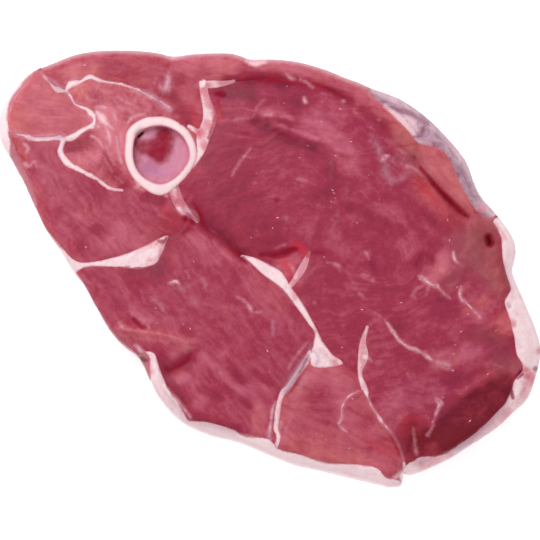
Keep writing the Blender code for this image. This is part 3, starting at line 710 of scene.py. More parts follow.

# %% [markdown]
# Blood gathers in every crease and pit, and these strokes also paint the shade there. They go from crimson,
# where the blood is a thin film, to nearly black in the deepest holes, which have a strength above one: that
# black is painted shade.

# %% Pooled blood and painted shade in creases and pits
BLOOD_AND_SHADE = [
    (0.5, [(-11, 57.8, 0.4), (-6, 57.9), (0, 57.8, 2), (4, 57.4, 1.2), (9, 56.8, 0.8), (14, 56.2, 0.9),
        (18, 54.8, 1.2), (21.5, 53), (25.5, 51.5, 0.4)]),
    (0.35, [(30.6, 47.4, 0.6), (32.4, 45.6, 0.6), (34.6, 43.6), (35.2, 42, 0.4)]),
    (1, [(45.6, 31, 0.3), (48, 28, 0.6), (50, 25.4, 0.9), (52, 23.2, 1.1), (54.5, 20.7, 1.1), (57, 18.4, 0.9),
        (59.7, 16, 0.3)]),
    (0.9, [(-16.2, 53.7, 0.5), (-15.2, 53.5, 0.9), (-14, 53.3, 0.4)]),
    (0.35, [(-16, 52), (-15.4, 50.2, 1.4), (-14.6, 48.2), (-14.2, 46.4, 0.6)]),
    (0.5, [(35.6, -48.4, 0.4), (37.2, -52, 1.4), (38.4, -54.6, 1.6)]),
    (0.7, [(-24.4, 16, 1.2), (-23.4, 14.4, 1.6)]), (0.5, [(-24.4, 12.4, 1.5), (-26, 11, 1.5)]),
    (0.95, [(-38.4, -28.6, 1.4), (-37.6, -30.8), (-37, -33.2, 0.4)]),
    (0.7, [(-23, 20, 0.3), (-21.8, 18, 0.7), (-20.9, 16.2, 1.1), (-20.3, 14), (-18.4, 11.6, 0.5)]),
    (0.45, [(-18.4, 11.6, 0.6), (-15.6, 10, 0.7), (-13, 8.2, 0.7), (-11.2, 6.2, 0.8)]),
    (0.65, [(-11.2, 6.2, 0.8), (-9.6, 4.7, 1.4), (-8.4, 3.2, 0.8), (-7, 1.8, 0.3)]),
    (0.8, [(-3, 4.4, 0.4), (1.5, 4.3, 1.4), (4.2, 4.8, 2), (6.4, 5.8, 1.6), (8, 6, 0.6)]),
    (0.5, [(12.5, 4.8, 0.4), (14.8, 4.8, 1.2), (16.6, 4.8, 0.4)]),
    (0.65, [(11.4, -26, 0.4), (10.4, -28.2, 0.9), (9.4, -30.4, 0.8), (8, -33.4), (6.8, -35.4, 0.8),
        (5, -37.8, 0.4)]),
    (0.7, [(-40.8, -15, 0.3), (-39.4, -16.4, 0.7), (-37.6, -17.7, 0.6)]),
    (0.6, [(-23.6, -25.6, 0.4), (-24.6, -27.6, 1.2), (-26.4, -28.8), (-28.8, -30.2, 1.2), (-30, -31, 0.4)]),
    (0.95, [(-25.4, 15.2)]), (0.4, [(1.2, 42.2), (4.5, 40.4, 1.2), (8, 38.6, 0.5)]),
    (0.7, [(2.2, 20.6, 0.8)]), (0.35, [(1.8, 21.6, 0.8), (4, 22.2, 0.5)]), (0.5, [(34.6, 31)]),
    (1.1, [(-38.2, -27, 1.3), (-36.9, -27.4, 0.7)]),
    (0.6, [(-41.8, -24, 0.6), (-39.6, -26, 0.8), (-38.2, -27.2, 0.8)]),
    (1.2, [(74.8, -31.4), (73.8, -32.4, 0.3)]), (0.9, [(79.2, -30, 0.9)]),
    (1.25, [(65.7, 9.7, 1.6), (66.2, 8, 1.8)]), (0.6, [(71.8, -11.4, 0.6)]),
    (1.7, [(-40, 41.2, 0.4), (-39.2, 42, 0.5)]), (0.5, [(43.6, 34.2, 1.4)]), (0.4, [(44.2, 38.2, 0.8)]),
    (0.5, [(59.9, -6.8)]), (0.45, [(43.8, 1.4), (46, 4.6, 0.5), (48.8, 2.6, 0.5)]),
    (0.45, [(-8.5, 41.2, 0.8), (-6, 41, 0.5)]),
    (0.75, [(36.5, 49.8, 0.4), (40, 48.2, 0.9), (43, 47.1, 0.6), (45.5, 46.1, 0.6), (47.5, 44.3)]),
    (0.6, [(47, 44, 0.8), (46.3, 42.3, 0.9), (45, 40.6)]),
    (0.6, [(56.8, 31, 0.8), (58.5, 28.5), (60, 25, 0.9), (62.3, 21.5, 0.8)]),
]
print(len(BLOOD_AND_SHADE), "strokes of blood")

# %% [markdown]
# Where the meat was touched by air longest it is bright red.

# %% Bright red
RED = [
    (1.2, [(7.4, 7.4, 1.4), (9.2, 6.6, 2), (10.4, 4.6, 1.2)]),
    (1, [(3.6, 2.8, 1.2), (5.4, 1, 2.6), (6, -1.8, 1.4)]),
    (0.6, [(-23.4, -25.2, 0.6), (-25.6, -27.8, 1.2), (-29.4, -30.4, 0.6)]),
    (0.7, [(-16, 50.6), (-15.2, 47.6, 1.4), (-15.4, 44.6, 0.8)]),
    (0.8, [(-23.6, 50, 0.4), (-23, 46.6, 0.8), (-22.2, 43.4), (-21.8, 41, 0.8)]),
    (0.4, [(-21.6, 53.6, 0.6), (-22.4, 50.6, 1.2)]), (0.5, [(29, -51, 1.5), (33, -54, 2), (36.5, -54, 2)]),
    (0.35, [(70, -15, 3), (70, -17.6, 2)]), (0.4, [(-32, 19, 1.6), (-29.6, 15.8, 2), (-27, 13.6, 1.6)]),
    (0.35, [(-41, -3, 2), (-36.6, -3.4, 1.6)]),
    (0.6, [(-9, 58.2, 0.6), (-4, 58.4), (1, 58.2, 1.4), (8, 57.4), (15, 56, 0.8)]),
    (0.5, [(52, 21.6, 0.8), (55.6, 18.4, 0.8)]), (0.45, [(-17.6, 43.6, 0.8), (-18.6, 42.8, 0.6)]),
    (0.3, [(-29.5, 13, 2.5), (-27.6, 14.8, 2)]),
    (0.7, [(40.4, -45.6, 1.4), (42.6, -44.8, 1.6), (44.8, -45.4)]),
    (0.5, [(39.2, -49.6), (40.6, -47.2, 1.4)]), (0.55, [(76.4, -31.8), (77.8, -32.8, 1.6)]),
    (0.55, [(45, 27, 2), (48, 22.4, 3.4), (52.4, 18, 2)]),
    (0.35, [(20, -29.4), (23.6, -30.8, 1.2), (25.5, -32, 0.5)]), (0.4, [(-17, 45.6), (-15.8, 43.8, 0.6)]),
    (0.6, [(80.4, -24.5, 1.2)]),
]
print(len(RED), "strokes of bright red")

# %% [markdown]
# Meat covers the edge of some layers and seams of fat. It does so along a stroke, or by a width in
# millimetres along both sides of a soft band, where the width wavers as the cut does.

# %% Meat over the edges of fat
MEATY = [
    (1, [(-70.2, 59.2, 1.6), (-72.6, 57.1, 2), (-74.3, 54.8, 2.2), (-76.7, 51.6, 1.8), (-78, 48, 1.4),
        (-77.7, 43, 1.4), (-77.3, 39.9, 1.6), (-75.9, 36.2, 3), (-73.3, 32.5, 5), (-71.6, 28.1, 3.2),
        (-69.7, 22.2, 2.6), (-68.5, 19, 2.4)]),
    (1, [(-70, 61.2, 1.4), (-69.2, 59.8, 1.2)]),
    (0.9, [(-68.6, 60, 0.6), (-66.8, 57.9, 0.8), (-64.9, 56.3, 0.6)]),
    (1, [(-8.2, 3.4, 0.8), (-6.6, 1.4, 1.4), (-4.8, -0.5, 1.2), (-2.2, -2.6, 1.1), (0.3, -4.2),
        (4, -7.1, 0.7), (8.2, -13, 0.6), (11.9, -19, 0.4)]),
    (0.9, [(7.1, -5.7, 0.6), (10.4, -10.8, 0.6), (13.4, -16, 0.5), (14.8, -19.3, 0.3)]),
    (1, [(12.2, 5.4, 1.6), (11.6, 4.2, 1.2)]), (0.8, [(65, 15.4), (67.4, 13), (69, 9, 1.2)]),
    (1, [(36.6, -50.2, 2), (38.2, -53.6, 2.2), (39.4, -56.6, 1.6)]),
    (0.8, [(-33.6, 8.6, 0.6), (-32, 8.2), (-31, 9.4, 0.8)]), (0.6, [(-43.6, 0.3, 0.6), (-42.4, 0.6, 0.6)]),
    (1, [(-17.6, 54, 0.6), (-17.2, 51.7, 1.2), (-15.8, 48, 1.4), (-15.8, 45, 2.6), (-16.9, 42.8, 1.4),
        (-18.5, 40, 0.8)]),
    (1, [(-17, 54.6, 0.6), (-14.5, 55.2), (-12, 55.8, 1.4), (-10.3, 56.4, 1.6), (-9.6, 57, 1.4)]),
    (1, [(-21.9, 57.6, 0.9)]), (1, [(-19.2, 57.9, 0.4)]), (1, [(-18.6, 58.1, 0.6), (-17.6, 58.3, 0.4)]),
    (1, [(-38.6, -25.4, 1.2), (-37.8, -26.9, 3.3), (-37.6, -29, 2.9), (-37.2, -32, 2.2),
        (-36.8, -34.5, 1.1)]),
    (0.8, [(71.6, -35.5), (72.4, -38.5)]),
    (1, [(-25.6, 22, 0.8), (-23.6, 18.8, 1.2), (-21.6, 15.8, 1.4), (-20.6, 14)]),
]
GROWN = [
    (0.16, 1.5, [(-78, 41.3), (-72, 40.2), (-63, 40.2)]),
    (0.18, 1.5, [(-62, 53.6), (-57.5, 49.5), (-52.6, 45), (-55.5, 42), (-60, 39.6)]),
    (0.1, 1.5, [(-63.4, 38), (-60.6, 32.8), (-53, 28), (-45, 24.5)]),
    (0.12, 1.5, [(-58, 57), (-50, 57.6), (-42, 54.8), (-33, 50)]),
    (0.3, 1.5, [(29, -38.5), (32, -43.2), (36, -48.8)]),
    (0.25, 1.2, [(42, -57.6, 0.8), (48, -57.4, 0.8), (55, -54.6, 0.8)]),
    (0.35, 1.2, [(-44, 0.2, 0.8), (-40, -0.2, 0.8), (-36.4, -0.4, 0.8)]),
]
print(len(MEATY), "strokes and", len(GROWN), "bands of meat over fat")

# %% [markdown]
# Now every point of the plan gets its nearness to each kind of mark. Each kind has its own softness, the
# distance in millimetres over which its nearness runs out.

# %% Nearness to the marks
SOFTNESS = {"marbling": 0.9, "silvery": 1.2, "blood_and_shade": 1.1, "red": 1.6, "meaty": 0.8}
GROWN_LEAST = 0.05
GROWN_SOFTNESS = 0.5
GROWN_LUMPS = 2.2
LUMP_SIZE, LUMP_SEED = 2.4, 5.0
TOUCHED = 0.1

strokes = {"marbling": MARBLING, "silvery": SILVERY, "blood_and_shade": BLOOD_AND_SHADE, "red": RED, "meaty": MEATY}
marks = {label: stroked(strokes[label], softness) for label, softness in SOFTNESS.items()}
grown = banded(GROWN) * np.clip(1 + GROWN_LUMPS * noise_over(plan, LUMP_SIZE, LUMP_SEED), 0, 2)
grown_over = np.where(grown > GROWN_LEAST, 1 + (grown - from_border) / GROWN_SOFTNESS, 0.0)
marks["meaty"] = np.maximum(marks["meaty"], grown_over)
for label, nearness in marks.items():
    print(f"{label} strokes touch {100 * (nearness > TOUCHED).mean():.1f}% of the plan")

# %% [markdown]
# Broad changes of colour are soft bands. Tone runs from dark, at minus one, to pale, at one, and warmth from
# purple-red, below zero, to orange-red, at one. Each muscle also has a tone and a warmth of its own, because
# muscles that work differently are differently red. Where muscle lies on muscle, these run into each other
# over a few millimetres, and so does how lively the muscle's pattern is. Film is the thin skin that shows
# along the rim, and dry is the brownish grey of meat that lost its gloss.

# %% Muscles, film and dry meat
MUSCLE_COLOUR = {
    "topside": (0.03, 0.0, 0.6), "silverside": (0.14, 0.1, 0.1), "eye_round": (0.32, 0.35, 0.1),
    "knuckle_lower": (0.22, 0.15, 0.1), "knuckle_tip": (0.57, 0.5, 0.1), "knuckle_inner": (0.52, 0.45, 1.4),
    "knuckle_top": (0.22, 0.45, 0.3), "cap_strip": (0.33, 0.4, 0.3), "cap_flap": (0.6, 0.8, 0.0),
}
FILM = [
    (1, 3, [(-67, 61), (-58, 64), (-46, 65.5), (-34, 65), (-20, 64.5), (-6, 62.8), (10, 61.5), (25, 56.5),
        (33, 53)]),
]
DRY = [
    (0.38, 3.5, [(66.5, 15, 2), (64, 11, 4), (64, 4, 3), (68, -4, 1.5)]), (0.3, 3, [(58, 8, 3), (58, 3, 2)]),
    (0.15, 2.5, [(62, -20, 2), (68, -21, 2)]), (0.3, 2.5, [(40, 40), (43.5, 34, 2), (47, 29)]),
    (0.35, 1.6, [(73.5, -29, 1.5)]), (0.3, 2.5, [(68.7, -28.2, 2)]),
    (0.25, 2.5, [(52, -4.4, 2), (54.5, -3.6, 2)]),
]
print(len(MUSCLE_COLOUR), "muscles with a tone, a warmth and a liveliness of their own")

# %% [markdown]
# Tone has the most bands, because light and dark patches are what tells one cut face from another. A few of
# them are painted shade along creases and in the hollow at the lower right, and painted highlight on the
# fold.

# %% Tone
TONE = [
    # Painted shade along the crease under the strip at the top, carried on by the first band of the next
    # line.
    (-0.5, 1.5, [(-6, 57.5, 0.5), (0, 57.9, 2), (6, 57.2), (13, 56, 1.2), (19, 54, 1.4), (24, 51.8)]),
    (-0.25, 1.5, [(28, 50, 0.8), (31, 46.5), (34.5, 43.5, 0.6)]), (0.2, 1.5, [(37, 39)]),
    (-0.65, 2, [(-12, 54.2, 1.8), (-6.5, 53.6, 2)]), (0.35, 1.6, [(19.5, 51.5), (19.8, 48)]),
    (0.4, 1.2, [(40.8, 32.4, 0.8), (43.4, 29.6, 0.8)]), (-0.3, 1.4, [(35.6, 45)]), (0.35, 1.4, [(40, -44)]),
    (-0.3, 1, [(-35, -17.4, 0.8), (-32, -18, 0.8)]), (-0.5, 2, [(-28, 58, 1.5)]),
    (0.3, 2.5, [(60.5, -24, 2)]), (0.3, 1.5, [(52.5, -0.9)]), (0.15, 2, [(66, -31.5, 1.5), (70, -31.5)]),
    (-0.2, 1.5, [(70.5, -36.5)]), (0.15, 2, [(58, -36, 1.5)]), (0.25, 2, [(50, -36, 1.5)]),
    (-0.4, 1.5, [(44.5, -50), (47, -49.4)]), (-0.4, 1.6, [(38, -50), (40, -54)]),
    (0.55, 1.8, [(-61, 60), (-54, 61.2)]), (0.1, 3, [(28, -48, 2), (15, -45, 3)]),
    (-0.35, 3, [(5, 54, 2), (9, 52, 2)]),
    # Painted shade along the crease that arcs through the topside.
    (-0.5, 1.6, [(-4.5, 44.8, 0.5), (0, 42.6, 1.5), (4, 40.5, 1.8), (7.5, 38.8, 1.2), (13, 37.2, 0.6)]),
    (-0.28, 1.8, [(13, 37.2, 0.6), (17.5, 34), (18.8, 29, 1.2), (18, 24, 0.6)]),
    (0.45, 1, [(1, 44.6, 0.2), (5, 42.6, 0.3), (9, 41.2, 0.3), (14, 39.2, 0.3)]),
    (0.55, 3, [(13, 44.5, 2), (17, 41.5, 2), (21, 37, 1.5), (24, 33)]),
    (0.5, 1, [(-2, 47), (3, 46.8), (6, 45.6, 0.5)]),
    (-0.5, 0.8, [(-1, 45.6, 0.3), (4, 45, 0.5), (6, 43.8, 0.2)]),
    (-0.25, 5, [(-13, 34, 4), (-12, 24, 4), (-8, 18, 4)]),
    (-0.24, 2.4, [(-16, 11), (-11, 8.4, 2), (-6, 6.4, 2.5), (0, 7, 2)]), (-0.3, 1.6, [(22.2, 33.3)]),
    (0.25, 1.8, [(-6, 33.9, 1.5)]), (0.3, 1.4, [(21.9, -39.3, 0.8)]), (0.3, 1.4, [(-46.5, 25.5, 0.8)]),
    (-0.25, 1.4, [(-16.8, 5.2)]), (-0.25, 1.6, [(-29.1, 7.6)]),
    (-0.5, 1.2, [(47.4, -50.3, 1.4), (46, -47.4, 0.6)]),
    # Painted shade along the crease between the topside and the silverside.
    (-0.3, 1.5, [(-21, 19, 0.3), (-20.5, 15.5), (-17.5, 12), (-14, 9.5), (-10, 5.5, 1.2), (-8, 3.5, 0.8)]),
    (-0.3, 1.2, [(29.5, 16.5, 0.5), (34, 14.5, 0.5), (38, 12.5), (40, 10.5, 0.5)]),
    (-0.3, 1.2, [(45.5, 17, 0.3), (50, 13.5), (53.5, 11, 0.5)]),
    (0.3, 1.5, [(33, 18.5), (36, 16.5), (37.5, 14.5, 0.5)]), (0.3, 2, [(42, 5, 1.5), (41, 9, 1.5)]),
    (-0.35, 1.2, [(43.5, 1.8, 1.5), (46.5, 4.5, 0.8), (48.5, 2.5, 0.8)]),
    (0.6, 2, [(52, 3, 1.5), (50.5, 0.5, 2.5), (48.5, -2.5, 1.5)]), (-0.35, 1.5, [(54, -1.5), (52, -4)]),
    (-0.2, 2, [(47, -9, 3), (54, -12, 3)]), (0.2, 4, [(43, -39, 4), (38, -42, 3)]),
    (-0.12, 3.5, [(28, 11, 3), (31, 9, 3)]), (-0.2, 3, [(-25, 12.5, 2), (-29, 14, 2)]),
    (0.35, 2, [(64, -10, 2), (60, -12, 1.5), (62.5, -15)]), (0.2, 2.5, [(70.5, -15.5, 2), (70, -18, 1.5)]),
    (-0.3, 1.8, [(62, -20.5, 3), (66, -20.5, 3), (72.5, -22, 2)]), (0.3, 2.5, [(70.5, -16, 2)]),
    (-0.5, 1.6, [(65.5, 9.5, 2), (67, 9)]), (-0.35, 1.2, [(69.5, 2, 0.6), (71, -2, 0.8), (72.3, -6, 0.8)]),
    (0.2, 3, [(0, 61.5, 2), (30, 51, 2)]), (0.35, 1.6, [(50, -27.5, 2), (54, -27, 2.5), (57, -26, 1.5)]),
    (-0.55, 1.8, [(69.5, -25.5, 2), (67, -27)]),
    # Painted shade of the hollow at the lower right, here and on the next line.
    (-0.9, 1.8, [(69.5, -34, 3.5), (66, -38.5, 7.5), (62, -42, 9), (58, -45.5, 9.5), (54, -48.5, 8)]),
    (-0.45, 2.2, [(57, -50.5, 3), (52, -51.5, 5), (48, -53.5, 3)]),
    (0.4, 1, [(57.5, -36.8, 0.6), (62, -34.4, 0.8), (67, -32.2, 0.6)]),
    (-0.6, 1.8, [(43, -53, 3), (44, -56.5, 2)]), (-0.45, 1.5, [(41.5, -49, 1.5), (42, -46, 1.5)]),
    (-0.3, 2, [(56, -33.5, 2.5), (60, -36, 2)]), (-0.35, 1.5, [(38.5, -18, 1.5), (37.5, -16)]),
    (-0.25, 1.2, [(31, -6.5, 0.5), (35, -7, 0.7), (41, -6.3, 0.5)]),
    (-0.3, 1, [(30, 1.5, 0.8), (31.5, -1, 0.8)]), (0.25, 1.5, [(28.5, 4.5)]), (0.25, 1.5, [(29, -2.2, 1.5)]),
    (0.2, 1.5, [(24.8, -4)]), (-0.3, 1.2, [(13, 22.2), (17, 22, 0.5)]), (-0.35, 1, [(23.7, 18.2)]),
    (-0.4, 1.9, [(-41, -2.3, 2.5), (-37, -2.2, 2.5), (-33, -1)]),
    (-0.4, 1.5, [(-31.5, 8.5, 0.5), (-32, 4), (-33, 1)]), (0.4, 1.6, [(-22, 9, 2), (-18, 6, 2), (-16, 3)]),
    (0.3, 1.2, [(-18, 11.3, 0.8), (-13.5, 6, 1.2), (-10, 1.5)]),
    (-0.3, 0.9, [(-15, 3.5, 0.4), (-12, 0, 0.5), (-9.5, -3.5, 0.5)]),
    # The second band here is a painted highlight beside the groove at the upper end of the fold; the next
    # line is painted shade in that groove.
    (0.22, 2.5, [(-5, -5, 2), (-1, -9, 2.5), (3, -13, 1.5)]), (0.35, 1.4, [(-41, -12), (-37, -16)]),
    (-0.5, 1, [(-40.5, -15.3, 0.3), (-38, -17.2, 0.8)]),
    # Painted highlight along the ridge of the fold.
    (0.25, 1.6, [(-44, -18.5, 1.5), (-40, -19.5, 1.5), (-34, -20, 1.5), (-28, -20.5), (-24.5, -22.5, 1.5)]),
    (0.4, 1.2, [(-28, -25.5)]), (0.4, 1.2, [(-26.5, -33, 1.5)]), (0.3, 1.2, [(-13.8, -26)]),
    # Painted shade in the groove under the fold.
    (-0.6, 1.3, [(-23.5, -26, 0.5), (-25, -28, 1.5), (-28, -29.5, 1.5), (-30, -30.5, 0.8)]),
    (-0.5, 1.4, [(-32.5, -27), (-31, -32), (-29, -37), (-26.5, -41), (-24, -44.5), (-17, -46.5, 0.7),
        (-10, -48.5, 0.5)]),
    (-0.4, 0.9, [(-21, -35.5, 0.4), (-17, -37.8, 1.2), (-14.5, -39.3, 0.4)]),
    (-0.35, 0.9, [(-12, -30, 0.3), (-9.5, -32.5), (-8, -34, 0.3)]),
    (-0.4, 0.9, [(-4.5, -31, 0.3), (-2, -33), (0, -34.5, 0.4)]),
    (-0.35, 0.9, [(-13, -35.5, 0.3), (-10, -38, 0.8), (-6, -41, 0.3)]),
    (-0.3, 0.9, [(-27, -36.5, 0.3), (-25, -39.5, 0.8)]), (0.3, 1, [(-20, -26), (-15, -31), (-9, -37)]),
    (0.25, 1, [(-24, -33), (-19, -39), (-22, -41)]), (0.3, 2, [(-3, -43, 2), (-3, -48, 2)]),
    (0.3, 2.2, [(-47, 6.5, 2), (-44, 11, 3), (-40, 8.5, 3)]),
    (-0.6, 1.2, [(-37, 21.8, 1.5), (-33, 20.8, 1.5)]), (-0.2, 1.4, [(-64, 17.5, 1.5)]),
    (-0.2, 1.4, [(-52.3, 12.3, 1.5)]), (-0.3, 1.6, [(-57, 7, 1.5)]),
    (0.2, 0.8, [(-62, 17.5, 0.4), (-57, 15.5, 0.4), (-53, 13.8, 0.4)]),
    (-0.2, 3, [(-55, 26, 3), (-45, 22.5, 2)]), (0.5, 2.6, [(-50, 46.5, 2), (-47, 42, 3), (-45, 37.5, 2)]),
    (-0.75, 1.6, [(-60.5, 37.5, 2), (-57, 38, 1.5), (-55, 40)]),
    (-0.6, 1.4, [(-49.5, 33), (-47, 29, 1.3), (-44.5, 26)]), (0.3, 1.2, [(-57, 33.5), (-52.5, 34)]),
    (0.25, 2, [(-57, 54.5, 2)]), (0.3, 2.2, [(-16, 62, 2), (-12, 61.5, 2)]), (-0.3, 1.6, [(-25, 47, 3)]),
    (-0.5, 1.2, [(-13, 58.4, 0.4), (-8, 58.6, 0.6), (-3, 58.8, 0.8)]),
    (-0.4, 1.5, [(-29.5, 52), (-27.5, 48.5)]), (0.3, 2, [(48, 22.5, 1.5), (51.5, 18, 1.5)]),
    (0.25, 2, [(12, -57), (20, -57.5, 1.5), (30, -57.5, 1.5)]), (-0.2, 1.5, [(30, -53.5), (34, -51.5, 1.5)]),
    (0.2, 2, [(13, -31.5, 1.5), (19, -32, 1.5)]), (-0.25, 3, [(14, -38, 3), (16, -44, 3)]),
    (0.2, 1.6, [(5.5, -45), (5, -51, 1.5)]), (-0.25, 1.6, [(29, -45.5, 2)]), (-0.35, 1.6, [(67.6, 5.6)]),
    (-0.35, 1.4, [(47.6, -50)]), (0.3, 2.2, [(66.3, -26.4, 1.5), (70.2, -23.9, 1.5)]),
    (0.45, 1.4, [(7.8, 2.8), (3.4, 0.6)]), (0.4, 1.4, [(-24.3, -24.8)]), (-0.3, 1.6, [(64.8, -33, 1.2)]),
    (0.25, 2, [(22.2, 44.8, 1.2)]), (0.25, 2, [(-7.8, 45.5, 1.2)]),
    (-0.3, 2, [(-33.5, -35.5, 1.5), (-30.5, -41.5, 1.5)]), (0.5, 1.2, [(5.3, -1.3, 0.8)]),
    (-0.25, 2, [(52, 35, 1.5)]), (-0.3, 2.2, [(42, -46.6, 1.5), (43.6, -50.6, 2)]), (0.15, 3, [(60, -40, 2)]),
    (-0.3, 1.8, [(-32, 52.6), (-29.6, 53.6)]), (0.2, 2, [(-24, 62, 2)]),
    (0.25, 2.5, [(33.3, -43.4, 1.5), (38, -37.6, 1.5)]), (0.2, 3, [(-7, -37, 2), (-1, -35.2, 2)]),
    (0.15, 2.5, [(19, -39, 2)]), (0.15, 2.5, [(25.5, 14.2, 1.5)]), (-0.2, 2.5, [(61, 2, 1.5)]),
    (0.2, 2, [(35.7, 27.9, 1.2)]), (0.3, 1.2, [(16.2, 53.3)]),
]
print(len(TONE), "bands of tone")

# %% [markdown]
# Warmth follows how much air the meat had. Flush is the pink that blood gives to fat.

# %% Warmth and flush
WARMTH = [
    (0.8, 2.6, [(70.5, -15.5, 2), (69.5, -18.5, 2)]), (0.45, 2, [(52, 0.5, 2.5), (48.5, -3, 1.5)]),
    (0.6, 2, [(64, -10, 2), (60, -12, 1.5)]), (0.6, 3, [(64, 12, 3), (67, 4, 3), (70, -5, 2)]),
    (0.7, 4, [(68, -34, 3), (62, -42, 5), (54, -50, 5), (44, -52, 3)]),
    (0.8, 2.6, [(45, 26, 2), (49, 20.5, 2), (55, 14.5, 1.5)]), (0.6, 2, [(41.6, -46, 1.5), (43.6, -50, 2)]),
    (0.5, 2.5, [(37, 45, 1.5), (42, 38.5, 2.5)]), (0.4, 1.6, [(50, -27.5, 2), (54, -27, 2.5)]),
    (0.2, 2.5, [(-5, -4, 2), (-1, -8, 2), (3, -12, 1.5)]), (-0.3, 4, [(-30, -9, 5), (-22, -7, 4)]),
    (0.5, 1.8, [(-44, -18.5, 1.5), (-34, -20, 1.5), (-24.5, -22.5, 1.5)]),
    (0.4, 2.5, [(-3, -43, 2), (-3, -48, 2)]), (0.3, 2.5, [(-30, 15, 3), (-28.5, 12, 2), (-36, 11, 2)]),
    (0.4, 2, [(-61, 60), (-54, 61)]), (0.4, 1.6, [(-73, 27), (-69.5, 19), (-66, 11), (-62, 5)]),
    (0.9, 2, [(-76.5, 47), (-76.5, 43, 1.5)]), (0.6, 2, [(-76, 38), (-75, 34.5)]),
    (0.7, 2.2, [(-57, 54.8, 2)]), (0.3, 2, [(-13, 62, 2)]), (0.3, 3, [(-12, 9, 2), (-3, 8, 3)]),
    (0.3, 2, [(2, 45.5)]), (0.3, 3, [(23, 33, 2)]), (-0.3, 3, [(7, 53, 3), (18, 47, 3)]),
    (-0.25, 3, [(-55, 26, 3)]), (0.4, 3, [(8, -53, 2), (25, -57, 2)]), (-0.25, 3, [(15, -40, 4)]),
    (-0.3, 3, [(36, 32, 3)]), (0.3, 2, [(-66, 55, 2)]),
]
FLUSH = [
    (0.8, 1, [(-14.6, 57.2, 0.6), (-12, 57.4), (-9.5, 57.6, 0.8)]),
    (1, 2, [(-28.5, 22.5, 1.5), (-26, 17, 2.5), (-23, 14, 1.5)]),
    (0.35, 1.2, [(-20.4, 45, 0.8), (-19.4, 42, 1.5)]), (0.6, 0.9, [(-7, 0.5, 0.8), (-4.5, -1.8, 0.5)]),
    (0.6, 1, [(-36.5, 8.2, 0.5), (-32.5, 7.8), (-32.2, 4.4)]), (0.6, 1, [(7.6, -5.6, 0.6), (7.6, -8.2, 0.8)]),
    (0.3, 0.8, [(-17, 56.4, 0.8), (-14, 56.8, 1.2), (-10.5, 57.4)]),
    (0.8, 0.9, [(-19.6, 53.4, 1.2), (-18.6, 50.5, 1.6)]),
    (0.45, 0.9, [(-16.6, 47.5, 0.8), (-16.6, 44.5), (-17.4, 41.5, 0.8)]),
    (0.35, 1, [(-22, 44), (-21.5, 41.5, 0.8)]), (0.4, 0.8, [(71, -42, 0.8), (69, -45, 0.8)]),
    (0.9, 1.2, [(-16.4, 50, 0.8), (-15.8, 47), (-16.2, 43)]),
    (0.7, 0.8, [(30, -40, 0.8), (33, -44.5, 0.8), (36, -49, 0.8)]),
    (1, 0.8, [(36.8, -50.5, 0.8), (38.2, -54, 0.8)]), (0.75, 1, [(27.6, -20, 0.8), (28, -31, 1.2)]),
    (0.4, 1, [(28.2, -35.5, 1.5)]), (0.35, 0.8, [(3.4, -38, 0.8), (2.8, -48, 0.8)]),
    (0.95, 0.9, [(11.4, 3.6, 0.8), (9.2, -0.4, 1.4), (7, -4.4, 0.8)]),
    (0.8, 1.2, [(73, -28), (75, -30, 1.5), (78.5, -33, 1.5)]), (0.6, 1.2, [(76.5, -35), (75.5, -37.5)]),
    (0.55, 1.2, [(45, -58.5), (49, -57, 1.2), (53, -55)]), (0.45, 0.7, [(-44, 55.4, 0.8), (-37, 52.8, 0.8)]),
    (0.5, 0.8, [(-60.6, 51, 0.6), (-58, 46.5, 0.6)]), (0.4, 1, [(67.5, 13.5), (70, 9.5)]),
    (0.35, 1, [(15, -25), (18.5, -27.5)]), (0.3, 1, [(-38, 0.5, 1.5), (-32, 4)]), (0.75, 1, [(72.6, -16.4)]),
    (0.75, 1, [(-19.4, 37.2)]), (0.5, 1, [(19.6, -28.2)]),
    (0.8, 1.2, [(-39.6, -25.2), (-37.6, -27.6, 1.2), (-36, -30.6, 0.6)]), (0.85, 0.8, [(-18.8, 56.2, 0.6)]),
    (0.6, 1, [(-21, 41.2, 1.2), (-20.4, 38.6)]), (0.3, 1.2, [(60, -51.2), (66, -46.6)]),
    (0.7, 1.2, [(63.8, 18.4, 1.2)]), (0.55, 0.9, [(-18.9, 44.6, 0.9)]),
    (0.3, 1.2, [(73.8, -40.2, 1.2), (67.5, -46.2, 1.2)]), (0.35, 0.9, [(-39.8, 6.2, 1.2), (-36.4, 7)]),
    (0.85, 0.8, [(-20.4, 54.6, 0.7)]),
]
print(len(WARMTH), "bands of warmth and", len(FLUSH), "of flush")

# %% [markdown]
# The bands are added up, and each muscle's own values are evened out over its neighbours. Meat is a little
# darker along a bare border, and warmer beside fat. Fat that meat has grown over needs the tone of the
# muscle next to it, so that is carried over from the nearest point of a muscle.

# %% Broad colour
MUSCLE_BLEND = 30
BARE_DARKER, BARE_REACH = 0.15, 1.2
FAT_WARMER, FAT_REACH = 0.18, 1.5
FILM_WIDTH = 1.2

